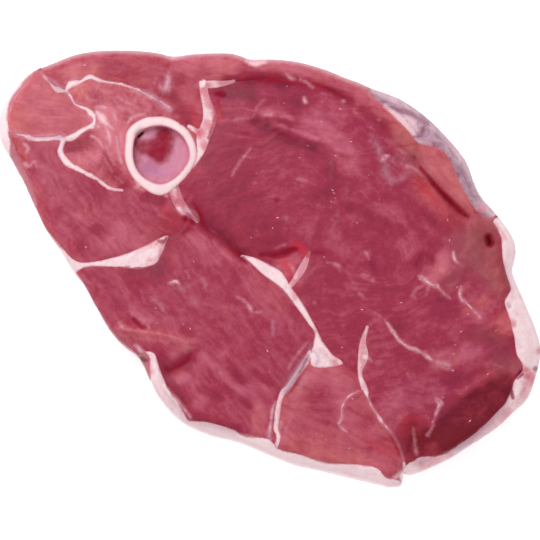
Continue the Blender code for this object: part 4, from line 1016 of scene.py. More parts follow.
by_muscle = np.array([MUSCLE_COLOUR.get(name, (0.0, 0.0, 0.0)) for name in names])
muscle_touches = touches * is_muscle
own_colour = muscle_touches @ by_muscle / np.maximum(muscle_touches.sum(1), 1)[:, None]
muscle_tone, muscle_warmth, muscle_lively = (
    evened(values, is_muscle[owner], np.zeros(len(plan), bool), MUSCLE_BLEND) for values in own_colour.T
)
tone = banded(TONE) - BARE_DARKER * np.exp(-(from_bare / BARE_REACH) ** 2)
warmth = banded(WARMTH) + FAT_WARMER * np.exp(-(from_fat / FAT_REACH) ** 2)
film = banded(FILM) * np.clip(1 - from_rim / FILM_WIDTH, 0, 1)
flush, dry = banded(FLUSH), banded(DRY)
in_muscle = muscle_touches.any(1)
nearest_muscle = tree_of(plan[in_muscle])
spread = np.flatnonzero(in_muscle)[[nearest_muscle.find((x, y, 0.0))[1] for x, y in plan]]
meat_tone = tone + muscle_tone[spread]
print(f"tone {tone.min():.2f} to {tone.max():.2f}, warmth {warmth.min():.2f} to {warmth.max():.2f}")

# %% [markdown]
# Meat has a grain: bundles of fibres that a slanting cut draws out into short streaks. In the big round
# muscle they lie in rings round its middle, elsewhere they run one way. A pattern that is squeezed along one
# direction makes such streaks. So each point carries a grain vector: two slow numbers that follow its place
# at a fifth of the rate, and one that grows by a metre for each metre across the fibres. Broad waves of
# noise keep the fibres from running too straight.

# %% Grain
SLOW = 1 / 5
RING_MIDDLES = [((5.0, 12.0), 0.5, 5.0, None), ((33.0, 2.0), 0.75, 3.5, 10.0)]
GRAIN_ANGLE = {
    "silverside": -48.0, "knuckle_lower": -52.0, "knuckle_tip": -20.0, "knuckle_inner": -42.0,
    "knuckle_top": -7.0, "cap_strip": -7.0, "cap_flap": -50.0, "eye_round": -24.0,
}
WAVES = [(14.0, 2.8), (6.0, 1.3), (2.5, 0.5)]

wave = sum(height * noise_over(plan, size, size) for size, height in WAVES)
print(f"the fibres waver by up to {np.abs(wave).max():.1f} mm")


def across_grain(name):
    """How far each plan point lies across the fibres of a piece, in millimetres."""
    if name == "topside":
        rings = 0.0
        for (x, y), squash, core, reach in RING_MIDDLES:
            aside, up = (plan + PICTURE_MIDDLE - (x, y)).T
            radius = np.sqrt((squash * aside) ** 2 + up ** 2 + core ** 2)
            share = 1.0 if reach is None else np.exp(-(radius / reach) ** 2)
            rings = rings * (1 - share) + radius * share
        return rings + wave
    angle = math.radians(GRAIN_ANGLE.get(name, 0.0))
    return -math.sin(angle) * plan[:, 0] + math.cos(angle) * plan[:, 1] + wave


# %% [markdown]
# Now the fine relief, which the solids leave to this script. Creases, folds and pits are strokes again,
# each with its own depth in millimetres. A height above zero is a swelling.

# %% Creases, folds and pits
CREASES = [
    (-0.25, [(-24, 19.7, 0.2), (-21.9, 17.6, 0.4), (-20.4, 15.2, 0.6), (-19.8, 13.3, 0.6), (-16.5, 11.5, 0.4),
        (-13.8, 9.1, 0.4), (-11.1, 6.4, 0.4), (-9.3, 4.8, 0.6), (-7.8, 3.2, 0.3)]),
    (-0.55, [(48, 28, 0.2), (50, 25.4, 0.3), (53, 21.9, 0.5), (56, 18.8, 0.5), (59.1, 16.4, 0.2)]),
    (-0.18, [(-11.6, 57.2, 0.4), (0, 58, 0.6), (9, 57.3, 0.6), (17, 55, 0.6), (26, 50, 0.4)]),
    (-0.5, [(-16, 53.9, 0.6), (-14.2, 53.6, 0.5)]), (-0.25, [(-40.2, -15.3, 0.3), (-37.5, -17.9, 0.4)]),
    (-0.35, [(-23.5, -25.5, 0.4), (-24.9, -27.9, 0.8), (-27, -29.1, 0.9), (-29.4, -30.3, 0.5)]),
    (0.45, [(-46, -18), (-42, -18.8, 1.4), (-36, -19.4, 0.8), (-27, -21.2, 0.9), (-24.4, -23.4, 1.2)]),
    (-0.15, [(-4.9, 44.8, 0.4), (0.6, 42, 0.8), (5.1, 39.4), (14.4, 37.3, 0.7), (22, 33, 0.4)]),
    (-0.4, [(2.1, 20.6, 0.5)]), (-0.6, [(65.8, 9.4, 1.2), (66.1, 8, 1.2)]), (-0.6, [(71.7, -11.5, 0.5)]),
    (-0.6, [(75.2, -31.2, 0.6), (77, -30.4, 0.3)]),
    (-0.35, [(11.1, -27.9, 0.3), (9.3, -31.2, 0.5), (7.3, -34.1, 0.7), (5.1, -37.6, 0.3)]),
    (-0.45, [(-1.6, 4.6, 0.4), (1.8, 4.5), (4.6, 4.8, 1.6), (7.4, 5.6, 0.8)]),
    (-0.9, [(-37.9, -27.2), (-37.2, -29.5, 0.5)]), (-0.35, [(34.5, 31.2, 0.8)]), (-0.5, [(-25.4, 15, 0.8)]),
    (-1, [(-40, 41, 0.5), (-39, 42, 0.6)]), (0.25, [(-20.5, 56.5, 2)]), (0.3, [(-27.3, 17.9, 1.6)]),
]
CREASE_REACH = 1.3

creased = np.zeros(len(plan))
for depth, route in CREASES:
    near, gap = beside(routed(route), CREASE_REACH)
    creased[near] += depth * np.clip(1 - np.maximum(gap, 0) / CREASE_REACH, 0, 1) ** 2
print(f"creases from {creased.min():.2f} to {creased.max():.2f} mm")

# %% [markdown]
# A groove runs along each border, deeper where the muscle meets fat, but not where meat has grown over the
# fat. Every kind of stuff has lumps of its own size: fat is lumpier than muscle, and marrow is lumpier
# still. Fibre bundles stand up by less than a tenth of a millimetre, and follow the grain.

# %% Relief
GROOVES = {"fat": (0.14, 0.5), "bare": (0.08, 0.6)}
BUNDLE_WIDTH, BUNDLE_HEIGHT = 1.3, 0.07
LUMPS = {"muscle": (0.10, 5.5), "fat": (0.13, 2.2), "silver": (0.12, 3.0), "bone": (0.05, 2.0),
         "marrow": (0.22, 3.6)}
SMALL_LUMPS, SMALL_SHARE = 2.3, 0.5
LARGE_SEED, SMALL_SEED = 3.0, 7.0
RELIEF_REACH, RELIEF_LEAST = 1.5, 0.25


def kind_of(name):
    """The kind of stuff that a piece is."""
    if name in MUSCLES:
        return "muscle"
    return "fat" if name in FAT else "silver" if name in SILVER else name


fat_groove, bare_groove = (
    depth * np.exp(-(gap / reach) ** 2)
    for (depth, reach), gap in zip(GROOVES.values(), (from_fat, from_bare))
)
fat_groove *= 1 - np.clip(marks["meaty"], 0, 1)
relief = {}
for kind, (height, size) in LUMPS.items():
    small = noise_over(plan, size / SMALL_LUMPS, SMALL_SEED)
    rolling = noise_over(plan, size, LARGE_SEED) + SMALL_SHARE * small
    relief[kind] = creased - fat_groove - bare_groove + height * rolling


def sheet_of(name):
    """The sheet of heights that a piece belongs to: the marrow is sunk below the rest."""
    return "marrow" if name == "marrow" else "slice"


def bundle_relief(name):
    """The height of the fibre bundles of a muscle at the plan points."""
    across = across_grain(name) / BUNDLE_WIDTH
    slow = plan / BUNDLE_WIDTH * SLOW
    return BUNDLE_HEIGHT * np.array([noise.noise((a, b, c)) for (a, b), c in zip(slow, across)])


print(f"relief of muscle from {relief['muscle'].min():.2f} to {relief['muscle'].max():.2f} mm")

# %% [markdown]
# The plan was drawn as if all of the cut face lay 20 mm high. Its rim is rounded down, and what lies lower
# looks nearer to the middle of the picture, because it is further from the lens, and lower in the picture,
# because the camera leans. So the rim is let out by as much as that takes away. Soft bands let it out, or
# take it in, a little more, where the picture's outline and the solids' differ. Small steps of the outline
# on the upper right are evened out as well, where skin bridges them.

# %% Fit the rim to the view
REACH_IN = 8.0
SKIN_LOW, SKIN_HIGH = (22.0, 4.0), (72.0, 60.0)
SKIN_ROUNDS = 60
FOLLOW_ROUNDS = 80
LET_OUT = [
    (1.3, 5, [(-80.5, 46), (-80, 40), (-77, 32), (-72, 22), (-68, 14)]),
    (0.8, 6, [(-77, 56), (-66, 61.5), (-50, 65), (-34, 65), (-20, 64.5), (-6, 62.8), (10, 61.5), (25, 56.5)]),
    (0.5, 6, [(36, 51.5), (50, 42), (58, 31)]), (0.6, 6, [(-62, 0), (-54, -11), (-48, -20), (-43, -26)]),
    (-0.6, 2, [(-38.5, -31), (-37, -34.5)]),
]
LET_OUT_ROUNDS = 12


def outward_of(plan):
    """The way out of the slice at each rim point, as unit vectors."""
    outward = np.zeros((len(plan), 2))
    for a, b in rim_sides:
        step = (plan[b] - plan[a]) / np.linalg.norm(plan[b] - plan[a])
        outward[[a, b]] += (step[1], -step[0])
    outward[on_rim] /= np.linalg.norm(outward[on_rim], axis=1)[:, None]
    return outward


drawn = plan.copy()
depth_below = np.maximum(AIM.z / MM - top["slice"], 0.0) * np.clip(1 - from_rim / REACH_IN, 0, 1)
lean_back = np.array([0.0, math.cos(ELEVATION)])
shift = depth_below[:, None] * (plan / (distance / MM) + lean_back)
skinned = plan.copy()
bridged = on_rim & (plan > SKIN_LOW).all(1) & (plan < SKIN_HIGH).all(1)
next_on_rim = dict(rim_sides.tolist())
last_on_rim = {b: a for a, b in next_on_rim.items()}
for _ in range(SKIN_ROUNDS):
    before = skinned.copy()
    for i in np.flatnonzero(bridged):
        skinned[i] = (before[i] + 0.5 * (before[next_on_rim[i]] + before[last_on_rim[i]])) / 2
everything = np.ones(len(triangles), bool)
follow = [evened(column, everything, on_rim, FOLLOW_ROUNDS) for column in (skinned - plan).T]
let_out = outward_of(plan) * banded(LET_OUT)[:, None] * on_rim[:, None]
let_out = [evened(column, everything, on_rim, LET_OUT_ROUNDS) for column in let_out.T]
plan = plan + shift + np.stack(follow, axis=1) + np.stack(let_out, axis=1)
print(f"the rim moves by up to {np.linalg.norm(shift, axis=1).max():.2f} mm")

# %% [markdown]
# Each piece can now be built from its own triangles of the plan: a top, an underside and walls, closed all
# round. Between two pieces the walls are plain, as they lie face to face. Round the slice the wall is seen,
# so there it has many rows, which bulge a little and wrinkle as skinned meat does. The points on the rim
# stand in columns, which both kinds of wall share, so that no seam opens where they meet.

# %% Rows of the outer wall
WALL_ROWS = 18
BULGE = 0.55
WRINKLES = [(7.0, 0.32), (2.4, 0.14)]
WRINKLE_STRETCH = 1.8

outward = outward_of(plan)


def wall_points(points, upper, lower):
    """The rows of wall points under each rim point, from the top one down: point, row, coordinate."""
    rows = np.arange(1, WALL_ROWS + 1) / (WALL_ROWS + 1)
    height = upper[:, None] + (lower - upper)[:, None] * rows
    push = np.zeros_like(height)
    for i, (x, y) in enumerate(plan[points]):
        for size, swing in WRINKLES:
            waves = height[i] / size / WRINKLE_STRETCH
            push[i] += [swing * noise.noise((x / size, y / size, z)) for z in waves]
    push = (push + BULGE) * np.sqrt(np.sin(np.pi * rows))
    place = plan[points][:, None] + outward[points][:, None] * push[:, :, None]
    return np.concatenate([place, height[:, :, None]], axis=2)


print(f"the outer wall has {on_rim.sum()} columns of {WALL_ROWS} points")

# %% [markdown]
# A closed mesh is put together from these parts. Every point of it also remembers its point of the plan and
# how deep it lies below the cut face.

# %% The mesh of a closed piece
def closed_mesh(name, upper, lower):
    """The points and faces of a piece, and the plan point and the depth of each of its points."""
    own = triangles[owner == names.index(name)]
    points = np.unique(own)
    place = np.full(len(plan), -1)
    place[points] = np.arange(len(points))
    count = len(points)
    rim_points = points[on_rim[points]]
    column = {i: range(2 * count + k * WALL_ROWS, 2 * count + (k + 1) * WALL_ROWS)
              for k, i in enumerate(rim_points)}
    walls = wall_points(rim_points, upper[rim_points], lower[rim_points])
    spots = np.concatenate([
        np.column_stack([plan[points], upper[points]]),
        np.column_stack([plan[points], lower[points]]),
        walls.reshape(-1, 3),
    ])
    of_plan = np.concatenate([points, points, np.repeat(rim_points, WALL_ROWS)])
    faces = place[own].tolist() + (place[own][:, ::-1] + count).tolist()
    rim_codes = set(map(tuple, rim_sides.tolist()))
    for a, b in lone_sides(own).tolist():
        down_a = [place[a], *column.get(a, ()), place[a] + count]
        down_b = [place[b], *column.get(b, ()), place[b] + count]
        if (a, b) in rim_codes:
            for upper_a, lower_a, upper_b, lower_b in zip(down_a, down_a[1:], down_b, down_b[1:]):
                faces.append([upper_b, upper_a, lower_a, lower_b])
        else:
            faces.append(down_a + down_b[::-1])
    drop = upper[np.repeat(rim_points, WALL_ROWS)] - walls[:, :, 2].ravel()
    depth = np.concatenate([np.zeros(2 * count), drop])
    return spots, faces, of_plan, depth


def upper_of(name):
    """The finished height of a piece's top at the plan points, with less relief towards the rim."""
    bumps = relief[kind_of(name)] + (bundle_relief(name) if name in MUSCLES else 0.0)
    return top[sheet_of(name)] + bumps * np.clip(from_rim / RELIEF_REACH, RELIEF_LEAST, 1)


def triangle_count(mesh):
    """How many triangles a mesh has."""
    return sum(len(face.vertices) - 2 for face in mesh.polygons)


# %% [markdown]
# The facts that a material reads are numbers on the points: what was drawn on the plan, and how far away
# the rim, the border and the fat are, in metres. The picture tells nothing of the outer wall, so most
# colour fades down it. One fact says how much a point belongs to the side, and one how thin a seam of fat
# is, because the red of the meat reaches further into a thin one.

# %% Facts for the materials
FACTS = marks | {
    "tone": tone, "warmth": warmth, "flush": flush, "film": film, "dry": dry, "meat_tone": meat_tone,
    "rim": from_rim * MM, "border": from_border * MM, "fatty": from_fat * MM,
}
FADING = ("marbling", "silvery", "blood_and_shade", "red", "flush", "film", "tone")
FADE_DEPTH, FADE_SHARE = 5.0, 0.85
SIDE_START = 1.2
SEAM_THIN = {"knuckle_seam": 0.7, "eye_seam": 0.3, "centre_seam": 0.3}


def give_fact(mesh, label, values):
    """Stores a number for each point of a mesh, under a name that node trees can read."""
    mesh.attributes.new(label, "FLOAT", "POINT").data.foreach_set("value", values)


def give_facts(name, mesh, spots, of_plan, depth):
    """Stores all facts about a piece, and the grain, on its mesh."""
    facts = FACTS | {"thin": np.full(len(plan), SEAM_THIN.get(name, 0.0))}
    if name in MUSCLES:
        facts |= {"tone": tone + muscle_tone, "warmth": warmth + muscle_warmth, "lively": muscle_lively}
    fade = 1 - FADE_SHARE * np.clip(depth / FADE_DEPTH, 0, 1)
    for label, values in facts.items():
        give_fact(mesh, label, values[of_plan] * (fade if label in FADING else 1.0))
    give_fact(mesh, "side", np.clip(depth / SIDE_START, 0, 1))
    grain = np.column_stack([plan[of_plan] * SLOW, across_grain(name)[of_plan] + spots[:, 2] * SLOW]) * MM
    mesh.attributes.new("grain", "FLOAT_VECTOR", "POINT").data.foreach_set("vector", grain.ravel())


print(len(FACTS) + 3, "facts on every point, and the grain")

# %% [markdown]
# With these helpers each piece is built in turn. It rides on the steak's one body and stands for its solid.

# %% Build the closed pieces
SOLE_GROOVE = 0.8
SHARP = math.radians(60)


def piece(name):
    """The finished piece that stands for a solid, with the facts that its material reads."""
    lower = foot[sheet_of(name)] + SOLE_GROOVE * (fat_groove + bare_groove)
    spots, faces, of_plan, depth = closed_mesh(name, upper_of(name), lower)
    mesh = bpy.data.meshes.new("fresh_" + name)
    mesh.from_pydata(spots * MM, [], faces)
    mesh.validate()
    give_facts(name, mesh, spots, of_plan, depth)
    mesh.shade_smooth()
    mesh.set_sharp_from_angle(angle=SHARP)
    built = placed("fresh_" + name, mesh)
    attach(built, "root")
    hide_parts(name)
    return built


pieces = {name: piece(name) for name in names}
for name, built in pieces.items():
    print(f"{built.name}: {triangle_count(built.data)} triangles")

# %% [markdown]
# Materials are node trees, and a tree is a list of nodes with values and links. One helper adds any node:
# its settings, then its inputs, each a plain value or another node's output. Kinds of node that come up
# again and again, with their settings, have short names. Colours are written as on a paint card, as hex
# codes, and turned to the linear values that the renderer works in.

# %% Helpers for materials
FACTOR, COLOUR_A, COLOUR_B, COLOUR = 0, 6, 7, 2
MIX = ("ShaderNodeMix", {"data_type": "RGBA"})
RANGE = ("ShaderNodeMapRange", {})
SOFT_RANGE = ("ShaderNodeMapRange", {"interpolation_type": "SMOOTHSTEP"})
PLUS, MINUS, TIMES, TIMES_PLUS = (
    ("ShaderNodeMath", {"operation": rule}) for rule in ("ADD", "SUBTRACT", "MULTIPLY", "MULTIPLY_ADD")
)
NOISE = ("ShaderNodeTexNoise", {})
SEEDED_NOISE = ("ShaderNodeTexNoise", {"noise_dimensions": "4D"})


def linear(code, alpha=1.0):
    """The linear colour of an sRGB hex code."""
    channels = [int(code[i:i + 2], 16) / 255 for i in (1, 3, 5)]
    return (*[c / 12.92 if c <= 0.04045 else ((c + 0.055) / 1.055) ** 2.4 for c in channels], alpha)


def add(tree, kind, settings=None, inputs=None, out=0):
    """Adds a node with settings, and with inputs as values or as other nodes' outputs. Gives one output."""
    made = tree.nodes.new(kind)
    for name, value in (settings or {}).items():
        setattr(made, name, value)
    for name, value in (inputs or {}).items():
        if isinstance(value, bpy.types.NodeSocket):
            tree.links.new(value, made.inputs[name])
        else:
            made.inputs[name].default_value = linear(value) if str(value).startswith("#") else value
    return made.outputs[out]


def per(size):
    """The scale of a pattern whose waves are this many millimetres long."""
    return 1 / (size * MM)


# %% [markdown]
# All materials of the steak begin and end alike. They begin with values on the shader, the place in the
# object, and the facts that the piece carries. They end with the colour and a fine relief, which needs no
# points of the mesh.

# %% The start and the end of a material
def new_material(name, labels, values):
    """A material, its tree and its shader with values set, the place in the object, and facts by label."""
    material = bpy.data.materials.new(name)
    material.use_nodes = True
    tree = material.node_tree
    shader = tree.nodes["Principled BSDF"]
    for label, value in values.items():
        shader.inputs[label].default_value = value
    facts = {
        label: add(tree, "ShaderNodeAttribute", {"attribute_name": label}, out="Fac") for label in labels
    }
    return material, tree, shader, add(tree, "ShaderNodeTexCoord", out="Object"), facts


def finish_material(material, colour, height, strength, depth):
    """Ends a material: its colour, and a relief that follows a pattern and is some millimetres deep."""
    tree = material.node_tree
    shader = tree.nodes["Principled BSDF"]
    tree.links.new(colour, shader.inputs["Base Color"])
    bump = add(tree, "ShaderNodeBump", {}, {"Height": height, "Strength": strength, "Distance": depth * MM})
    tree.links.new(bump, shader.inputs["Normal"])
    print(f"{material.name}: {len(tree.nodes)} nodes")


# %% [markdown]
# Between the two, stains go over the colour one by one. Each follows one fact: noise makes the fact ragged,
# and the stain grows from nothing, where the fact has its start value, to its strength at its full value. A
# distance shrinks towards what stains it, so there the start is larger than the full value. The last stain
# is often meat that has grown over the edge of fat, in the colour of the nearest muscle.

# %% Stains
def stained(tree, colour, facts, ragged, stains):
    """A colour with stains over it, given as (fact, raggedness, start, full, strength, colour)."""
    for label, raggedness, start, full, strength, stain in stains:
        nearness = add(tree, *TIMES_PLUS, {0: ragged, 1: raggedness, 2: facts[label]})
        cover = add(tree, *SOFT_RANGE, {
            "Value": nearness, "From Min": start, "From Max": full, "To Max": strength})
        colour = add(tree, *MIX, {FACTOR: cover, COLOUR_A: colour, COLOUR_B: stain}, COLOUR)
    return colour


def meat_colour(tree, facts):
    """The red of the nearest muscle, from dark to pale."""
    paleness = add(tree, *RANGE, {"Value": facts["meat_tone"], "From Min": -0.7, "From Max": 0.9})
    return add(tree, *MIX, {FACTOR: paleness, COLOUR_A: "#86182E", COLOUR_B: "#CE6A7C"}, COLOUR)


# %% [markdown]
# Raw lean lamb, freshly cut: a moist, fine-grained red between raspberry and brick. It is made of noise at
# the sizes of what is really there. The fibre bundles are about 1.6 mm wide and are drawn at that size. The
# single fibres, a tenth of that, are too fine for the picture and only roughen the gloss. Knots are the
# livelier pattern of the muscle beside the bone.

# %% Patterns of raw lamb lean
BUNDLE, MOTTLE, CURD, SPECKLE, HUE, KNOT = 1.6, 4.5, 1.6, 0.6, 3.2, 2.6

lean, tree, shader, place, facts = new_material(
    "raw_lamb_lean",
    ("marbling", "silvery", "blood_and_shade", "red", "meaty", "tone", "warmth", "lively", "dry", "film", "side",
     "fatty"),
    {"IOR": 1.36, "Coat Weight": 0.06, "Coat Roughness": 0.2})
grain = add(tree, "ShaderNodeAttribute", {"attribute_name": "grain"}, out="Vector")
bundles = add(tree, *NOISE, {
    "Vector": grain, "Scale": per(BUNDLE), "Detail": 2.5, "Roughness": 0.55, "Distortion": 0.2})
mottles = add(tree, *NOISE, {
    "Vector": place, "Scale": per(MOTTLE), "Detail": 2.0, "Roughness": 0.5, "Distortion": 0.6})
curds = add(tree, *NOISE, {
    "Vector": place, "Scale": per(CURD), "Detail": 2.0, "Roughness": 0.6, "Distortion": 0.4})
speckles = add(tree, *NOISE, {"Vector": place, "Scale": per(SPECKLE), "Detail": 1.0})
hues = add(tree, *SEEDED_NOISE, {
    "Vector": place, "W": 3.0, "Scale": per(HUE), "Detail": 2.0, "Distortion": 0.5})
knots = add(tree, *SEEDED_NOISE, {
    "Vector": place, "W": 7.0, "Scale": per(KNOT), "Detail": 3.0, "Roughness": 0.65,
    "Distortion": 0.8})
knots = add(tree, *MINUS, {0: knots, 1: 0.5})
print("lean has waves of", BUNDLE, MOTTLE, CURD, SPECKLE, HUE, KNOT, "mm")

# %% [markdown]
# The base colour runs from dark to pale, as the muscle's tone, the grain and the mottling have it, in two
# reds: one is purplish and one is brick, and the warmth chooses between them. Dry meat is browner.

# %% Base colour of raw lamb lean
PATTERNS = ((bundles, 0.85), (mottles, 0.6), (curds, 0.4), (speckles, 0.2))
PURPLISH = ("#6C1230", "#A02F4B", "#D06C85")
BRICK = ("#78101E", "#AA3844", "#DC7A7E")

shade = add(tree, *TIMES_PLUS, {0: knots, 1: facts["lively"], 2: facts["tone"]})
for pattern, share in PATTERNS:
    shade = add(tree, *TIMES_PLUS, {0: pattern, 1: share, 2: shade})
middle = 0.5 * sum(share for _, share in PATTERNS)
from_dark = add(tree, *RANGE, {"Value": shade, "From Min": middle - 1.0, "From Max": middle})
to_pale = add(tree, *RANGE, {"Value": shade, "From Min": middle, "From Max": middle + 1.0})
warmth_here = add(tree, *TIMES_PLUS, {0: hues, 1: 1.2, 2: facts["warmth"]})
warm_share = add(tree, *RANGE, {"Value": warmth_here, "From Min": 0.6, "From Max": 1.6})
reds = []
for dark_red, middle_red, pale_red in (PURPLISH, BRICK):
    mixed = add(tree, *MIX, {FACTOR: from_dark, COLOUR_A: dark_red, COLOUR_B: middle_red}, COLOUR)
    reds.append(add(tree, *MIX, {FACTOR: to_pale, COLOUR_A: mixed, COLOUR_B: pale_red}, COLOUR))
colour = add(tree, *MIX, {FACTOR: warm_share, COLOUR_A: reds[0], COLOUR_B: reds[1]}, COLOUR)
dried = add(tree, *TIMES, {0: facts["dry"], 1: mottles})
colour = add(tree, *MIX, {FACTOR: dried, COLOUR_A: colour, COLOUR_B: "#A88078"}, COLOUR)
print(f"the middle red has a shade of {middle:.2f}")

# %% [markdown]
# Over the base go bright red, pooled blood with painted shade in the creases and pits, silverskin, threads of
# fat and the film at the rim. A pink fringe runs along every layer of fat, and keeps off where meat has grown
# over it. On the outer wall the fringe is wide and ragged, and a thin skin lies over the bundles. Where the
# blood and the painted shade lie in a pit or crease, it doesn't shine.

# %% Stains and gloss of raw lamb lean
FRINGE, FRINGE_ON_SIDE = 0.7 * MM, 6.0 * MM
RAGGED, RAGGED_ON_SIDE = 1.6 * MM, 9.0 * MM
FRINGE_OFF_MEAT = 0.8 * MM

ragged = add(tree, *PLUS, {0: curds, 1: hues})
ragged = add(tree, *TIMES_PLUS, {0: ragged, 1: 0.5, 2: -0.5})
raggedness = add(tree, *TIMES_PLUS, {0: facts["side"], 1: RAGGED_ON_SIDE, 2: RAGGED})
reach = add(tree, *TIMES_PLUS, {0: facts["side"], 1: FRINGE_ON_SIDE, 2: FRINGE})
covered = add(tree, "ShaderNodeMath", {"operation": "ADD", "use_clamp": True}, {0: facts["meaty"]})
facts["fringe"] = add(tree, *TIMES_PLUS, {0: covered, 1: FRINGE_OFF_MEAT, 2: facts["fatty"]})
# The two blood stains are pooled blood and painted shade in the creases and pits, the second nearly black in
# the deepest.
colour = stained(tree, colour, facts, ragged, (
    ("red", 1.3, 0.0, 1.9, 0.8, "#C82A40"), ("blood_and_shade", 0.6, 0.1, 1.2, 0.8, "#8A0A22"),
    ("blood_and_shade", 0.4, 1.1, 2.0, 0.9, "#40060A"), ("silvery", 1.1, 0.1, 1.5, 0.7, "#C8A0B4"),
    ("marbling", 1.1, 0.15, 1.0, 0.55, "#D98698"), ("marbling", 1.3, 0.6, 1.7, 0.85, "#F8D4DA"),
    ("film", 0.5, 0.0, 1.1, 0.8, "#DCA6B0"), ("fringe", raggedness, reach, -0.1 * MM, 0.65, "#D88E9E"),
))
skin = add(tree, *SOFT_RANGE, {
    "Value": bundles, "From Min": 0.35, "From Max": 0.7, "To Min": 0.1, "To Max": 0.6})
skin = add(tree, *TIMES, {0: skin, 1: facts["side"]})
colour = add(tree, *MIX, {FACTOR: skin, COLOUR_A: colour, COLOUR_B: "#D09AA8"}, COLOUR)
gloss = add(tree, *RANGE, {
    "Value": speckles, "From Min": 0.3, "From Max": 0.7, "To Min": 0.36, "To Max": 0.54})
tree.links.new(gloss, shader.inputs["Roughness"])
shine = add(tree, *RANGE, {
    "Value": facts["blood_and_shade"], "From Min": 0.2, "From Max": 0.8, "To Min": 0.26, "To Max": 0.02})
tree.links.new(shine, shader.inputs["Specular IOR Level"])
height = add(tree, *TIMES_PLUS, {0: bundles, 1: 0.7, 2: speckles})
finish_material(lean, colour, height, 0.45, 0.12)
for name in MUSCLES:
    pieces[name].data.materials.append(lean)

# %% [markdown]
# Raw lamb fat: firm, white with a breath of pink, and matt but for its moisture. It is never one white.
# Blood tints it in clouds a few millimetres wide and along its borders, where fat and meat grow into each
# other, and lilac silverskin crosses it. Towards the rim and down the outer wall it is painted greyer, as
# painted shade of the outer side. Where the tone is dark it turns purple-grey, which carries the painted
# shade of the creases and of the hollow at the lower right. Meat that has grown over its edge hides it, and
# has its own pits of blood and painted shade.

# %% Raw lamb fat
CLOUD, CURDLE = 3.2, 0.8
FAT_FRINGE, THIN_FRINGE = 0.5 * MM, 0.55 * MM

fat, tree, shader, place, facts = new_material("raw_lamb_fat", (
    "marbling", "silvery", "blood_and_shade", "red", "border", "tone", "rim", "flush", "thin", "meaty", "meat_tone"),
    {"Roughness": 0.42, "IOR": 1.44})
clouds = add(tree, *NOISE, {"Vector": place, "Scale": per(CLOUD), "Detail": 3.0, "Roughness": 0.6})
curds = add(tree, *NOISE, {"Vector": place, "Scale": per(CURDLE), "Detail": 2.0})
shade = add(tree, *TIMES_PLUS, {0: curds, 1: 0.2, 2: clouds})
tinted = add(tree, *RANGE, {"Value": shade, "From Min": 0.4, "From Max": 1.0})
colour = add(tree, *MIX, {FACTOR: tinted, COLOUR_A: "#FCE2E6", COLOUR_B: "#F0C4CC"}, COLOUR)
ragged = add(tree, *TIMES_PLUS, {0: curds, 1: 0.4, 2: clouds})
ragged = add(tree, *TIMES_PLUS, {0: ragged, 1: 0.7, 2: -0.49})
# The rim stain is painted shade: greyer towards the rim and down the outer wall.
colour = stained(tree, colour, facts, ragged, (
    ("rim", 2.0 * MM, 1.2 * MM, -0.1 * MM, 0.35, "#D6B4BD"), ("flush", 1.2, 0.0, 1.0, 0.9, "#DC7A8C"),
))
# The purple-grey follows the tone, so it also carries the painted shade of the creases and of the hollow at
# the lower right.
purple = add(tree, *RANGE, {"Value": facts["tone"], "From Min": -0.1, "From Max": -0.9, "To Max": 0.75})
colour = add(tree, *MIX, {FACTOR: purple, COLOUR_A: colour, COLOUR_B: "#B0788C"}, COLOUR)
reach = add(tree, *TIMES_PLUS, {0: facts["thin"], 1: THIN_FRINGE, 2: FAT_FRINGE})
# The two blood stains are pooled blood and painted shade, nearly black in the deepest pits.
colour = stained(tree, colour, facts, ragged, (
    ("silvery", 0.9, 0.2, 1.4, 0.75, "#C09AB0"), ("marbling", 0.6, 0.2, 1.0, 0.8, "#FBE0E4"),
    ("red", 0.6, 0.1, 1.0, 0.8, "#D24A60"), ("blood_and_shade", 0.5, 0.2, 1.0, 0.85, "#8C3450"),
    ("blood_and_shade", 0.5, 1.0, 1.8, 0.9, "#2E0408"), ("border", 2.0 * MM, reach, -0.1 * MM, 0.9, "#D48C9C"),
))
meaty = add(tree, *TIMES_PLUS, {0: ragged, 1: 0.9, 2: facts["meaty"]})
meaty = add(tree, *SOFT_RANGE, {"Value": meaty, "From Min": 0.3, "From Max": 1.0, "To Max": 0.92})
colour = add(tree, *MIX, {FACTOR: meaty, COLOUR_A: colour, COLOUR_B: meat_colour(tree, facts)}, COLOUR)
# Under meat grown over the fat, the blood strokes paint pits of blood and their painted shade, nearly black
# in the deepest.
for start, stain in ((0.5, "#7A0E22"), (1.0, "#38060A")):
    cover = add(tree, *SOFT_RANGE, {"Value": facts["blood_and_shade"], "From Min": start, "From Max": start + 0.7})
    cover = add(tree, *TIMES, {0: cover, 1: meaty})
    colour = add(tree, *MIX, {FACTOR: cover, COLOUR_A: colour, COLOUR_B: stain}, COLOUR)
finish_material(fat, colour, curds, 0.5, 0.15)
for name in FAT:
    pieces[name].data.materials.append(fat)

# %% [markdown]
# Silverskin: a thin, tough, shiny membrane over fat and meat. It is see-through, so it looks lilac-grey
# where red meat lies under it and whiter over fat, in streaks a few millimetres long.

# %% Silverskin
STREAK, FINE_STREAK = 4.0, 1.2

silver, tree, shader, place, facts = new_material("silverskin_membrane", (
    "marbling", "silvery", "blood_and_shade", "red", "rim", "flush", "meaty", "meat_tone"),
    {"Roughness": 0.4, "IOR": 1.38})
streaks = add(tree, *NOISE, {
    "Vector": place, "Scale": per(STREAK), "Detail": 4.0, "Roughness": 0.6, "Distortion": 0.8})
fine = add(tree, *NOISE, {"Vector": place, "Scale": per(FINE_STREAK), "Detail": 2.0})
whiteness = add(tree, *RANGE, {"Value": streaks, "From Min": 0.35, "From Max": 0.7})
colour = add(tree, *MIX, {FACTOR: whiteness, COLOUR_A: "#8A546E", COLOUR_B: "#CCA0B2"}, COLOUR)
ragged = add(tree, *MINUS, {0: fine, 1: 0.5})
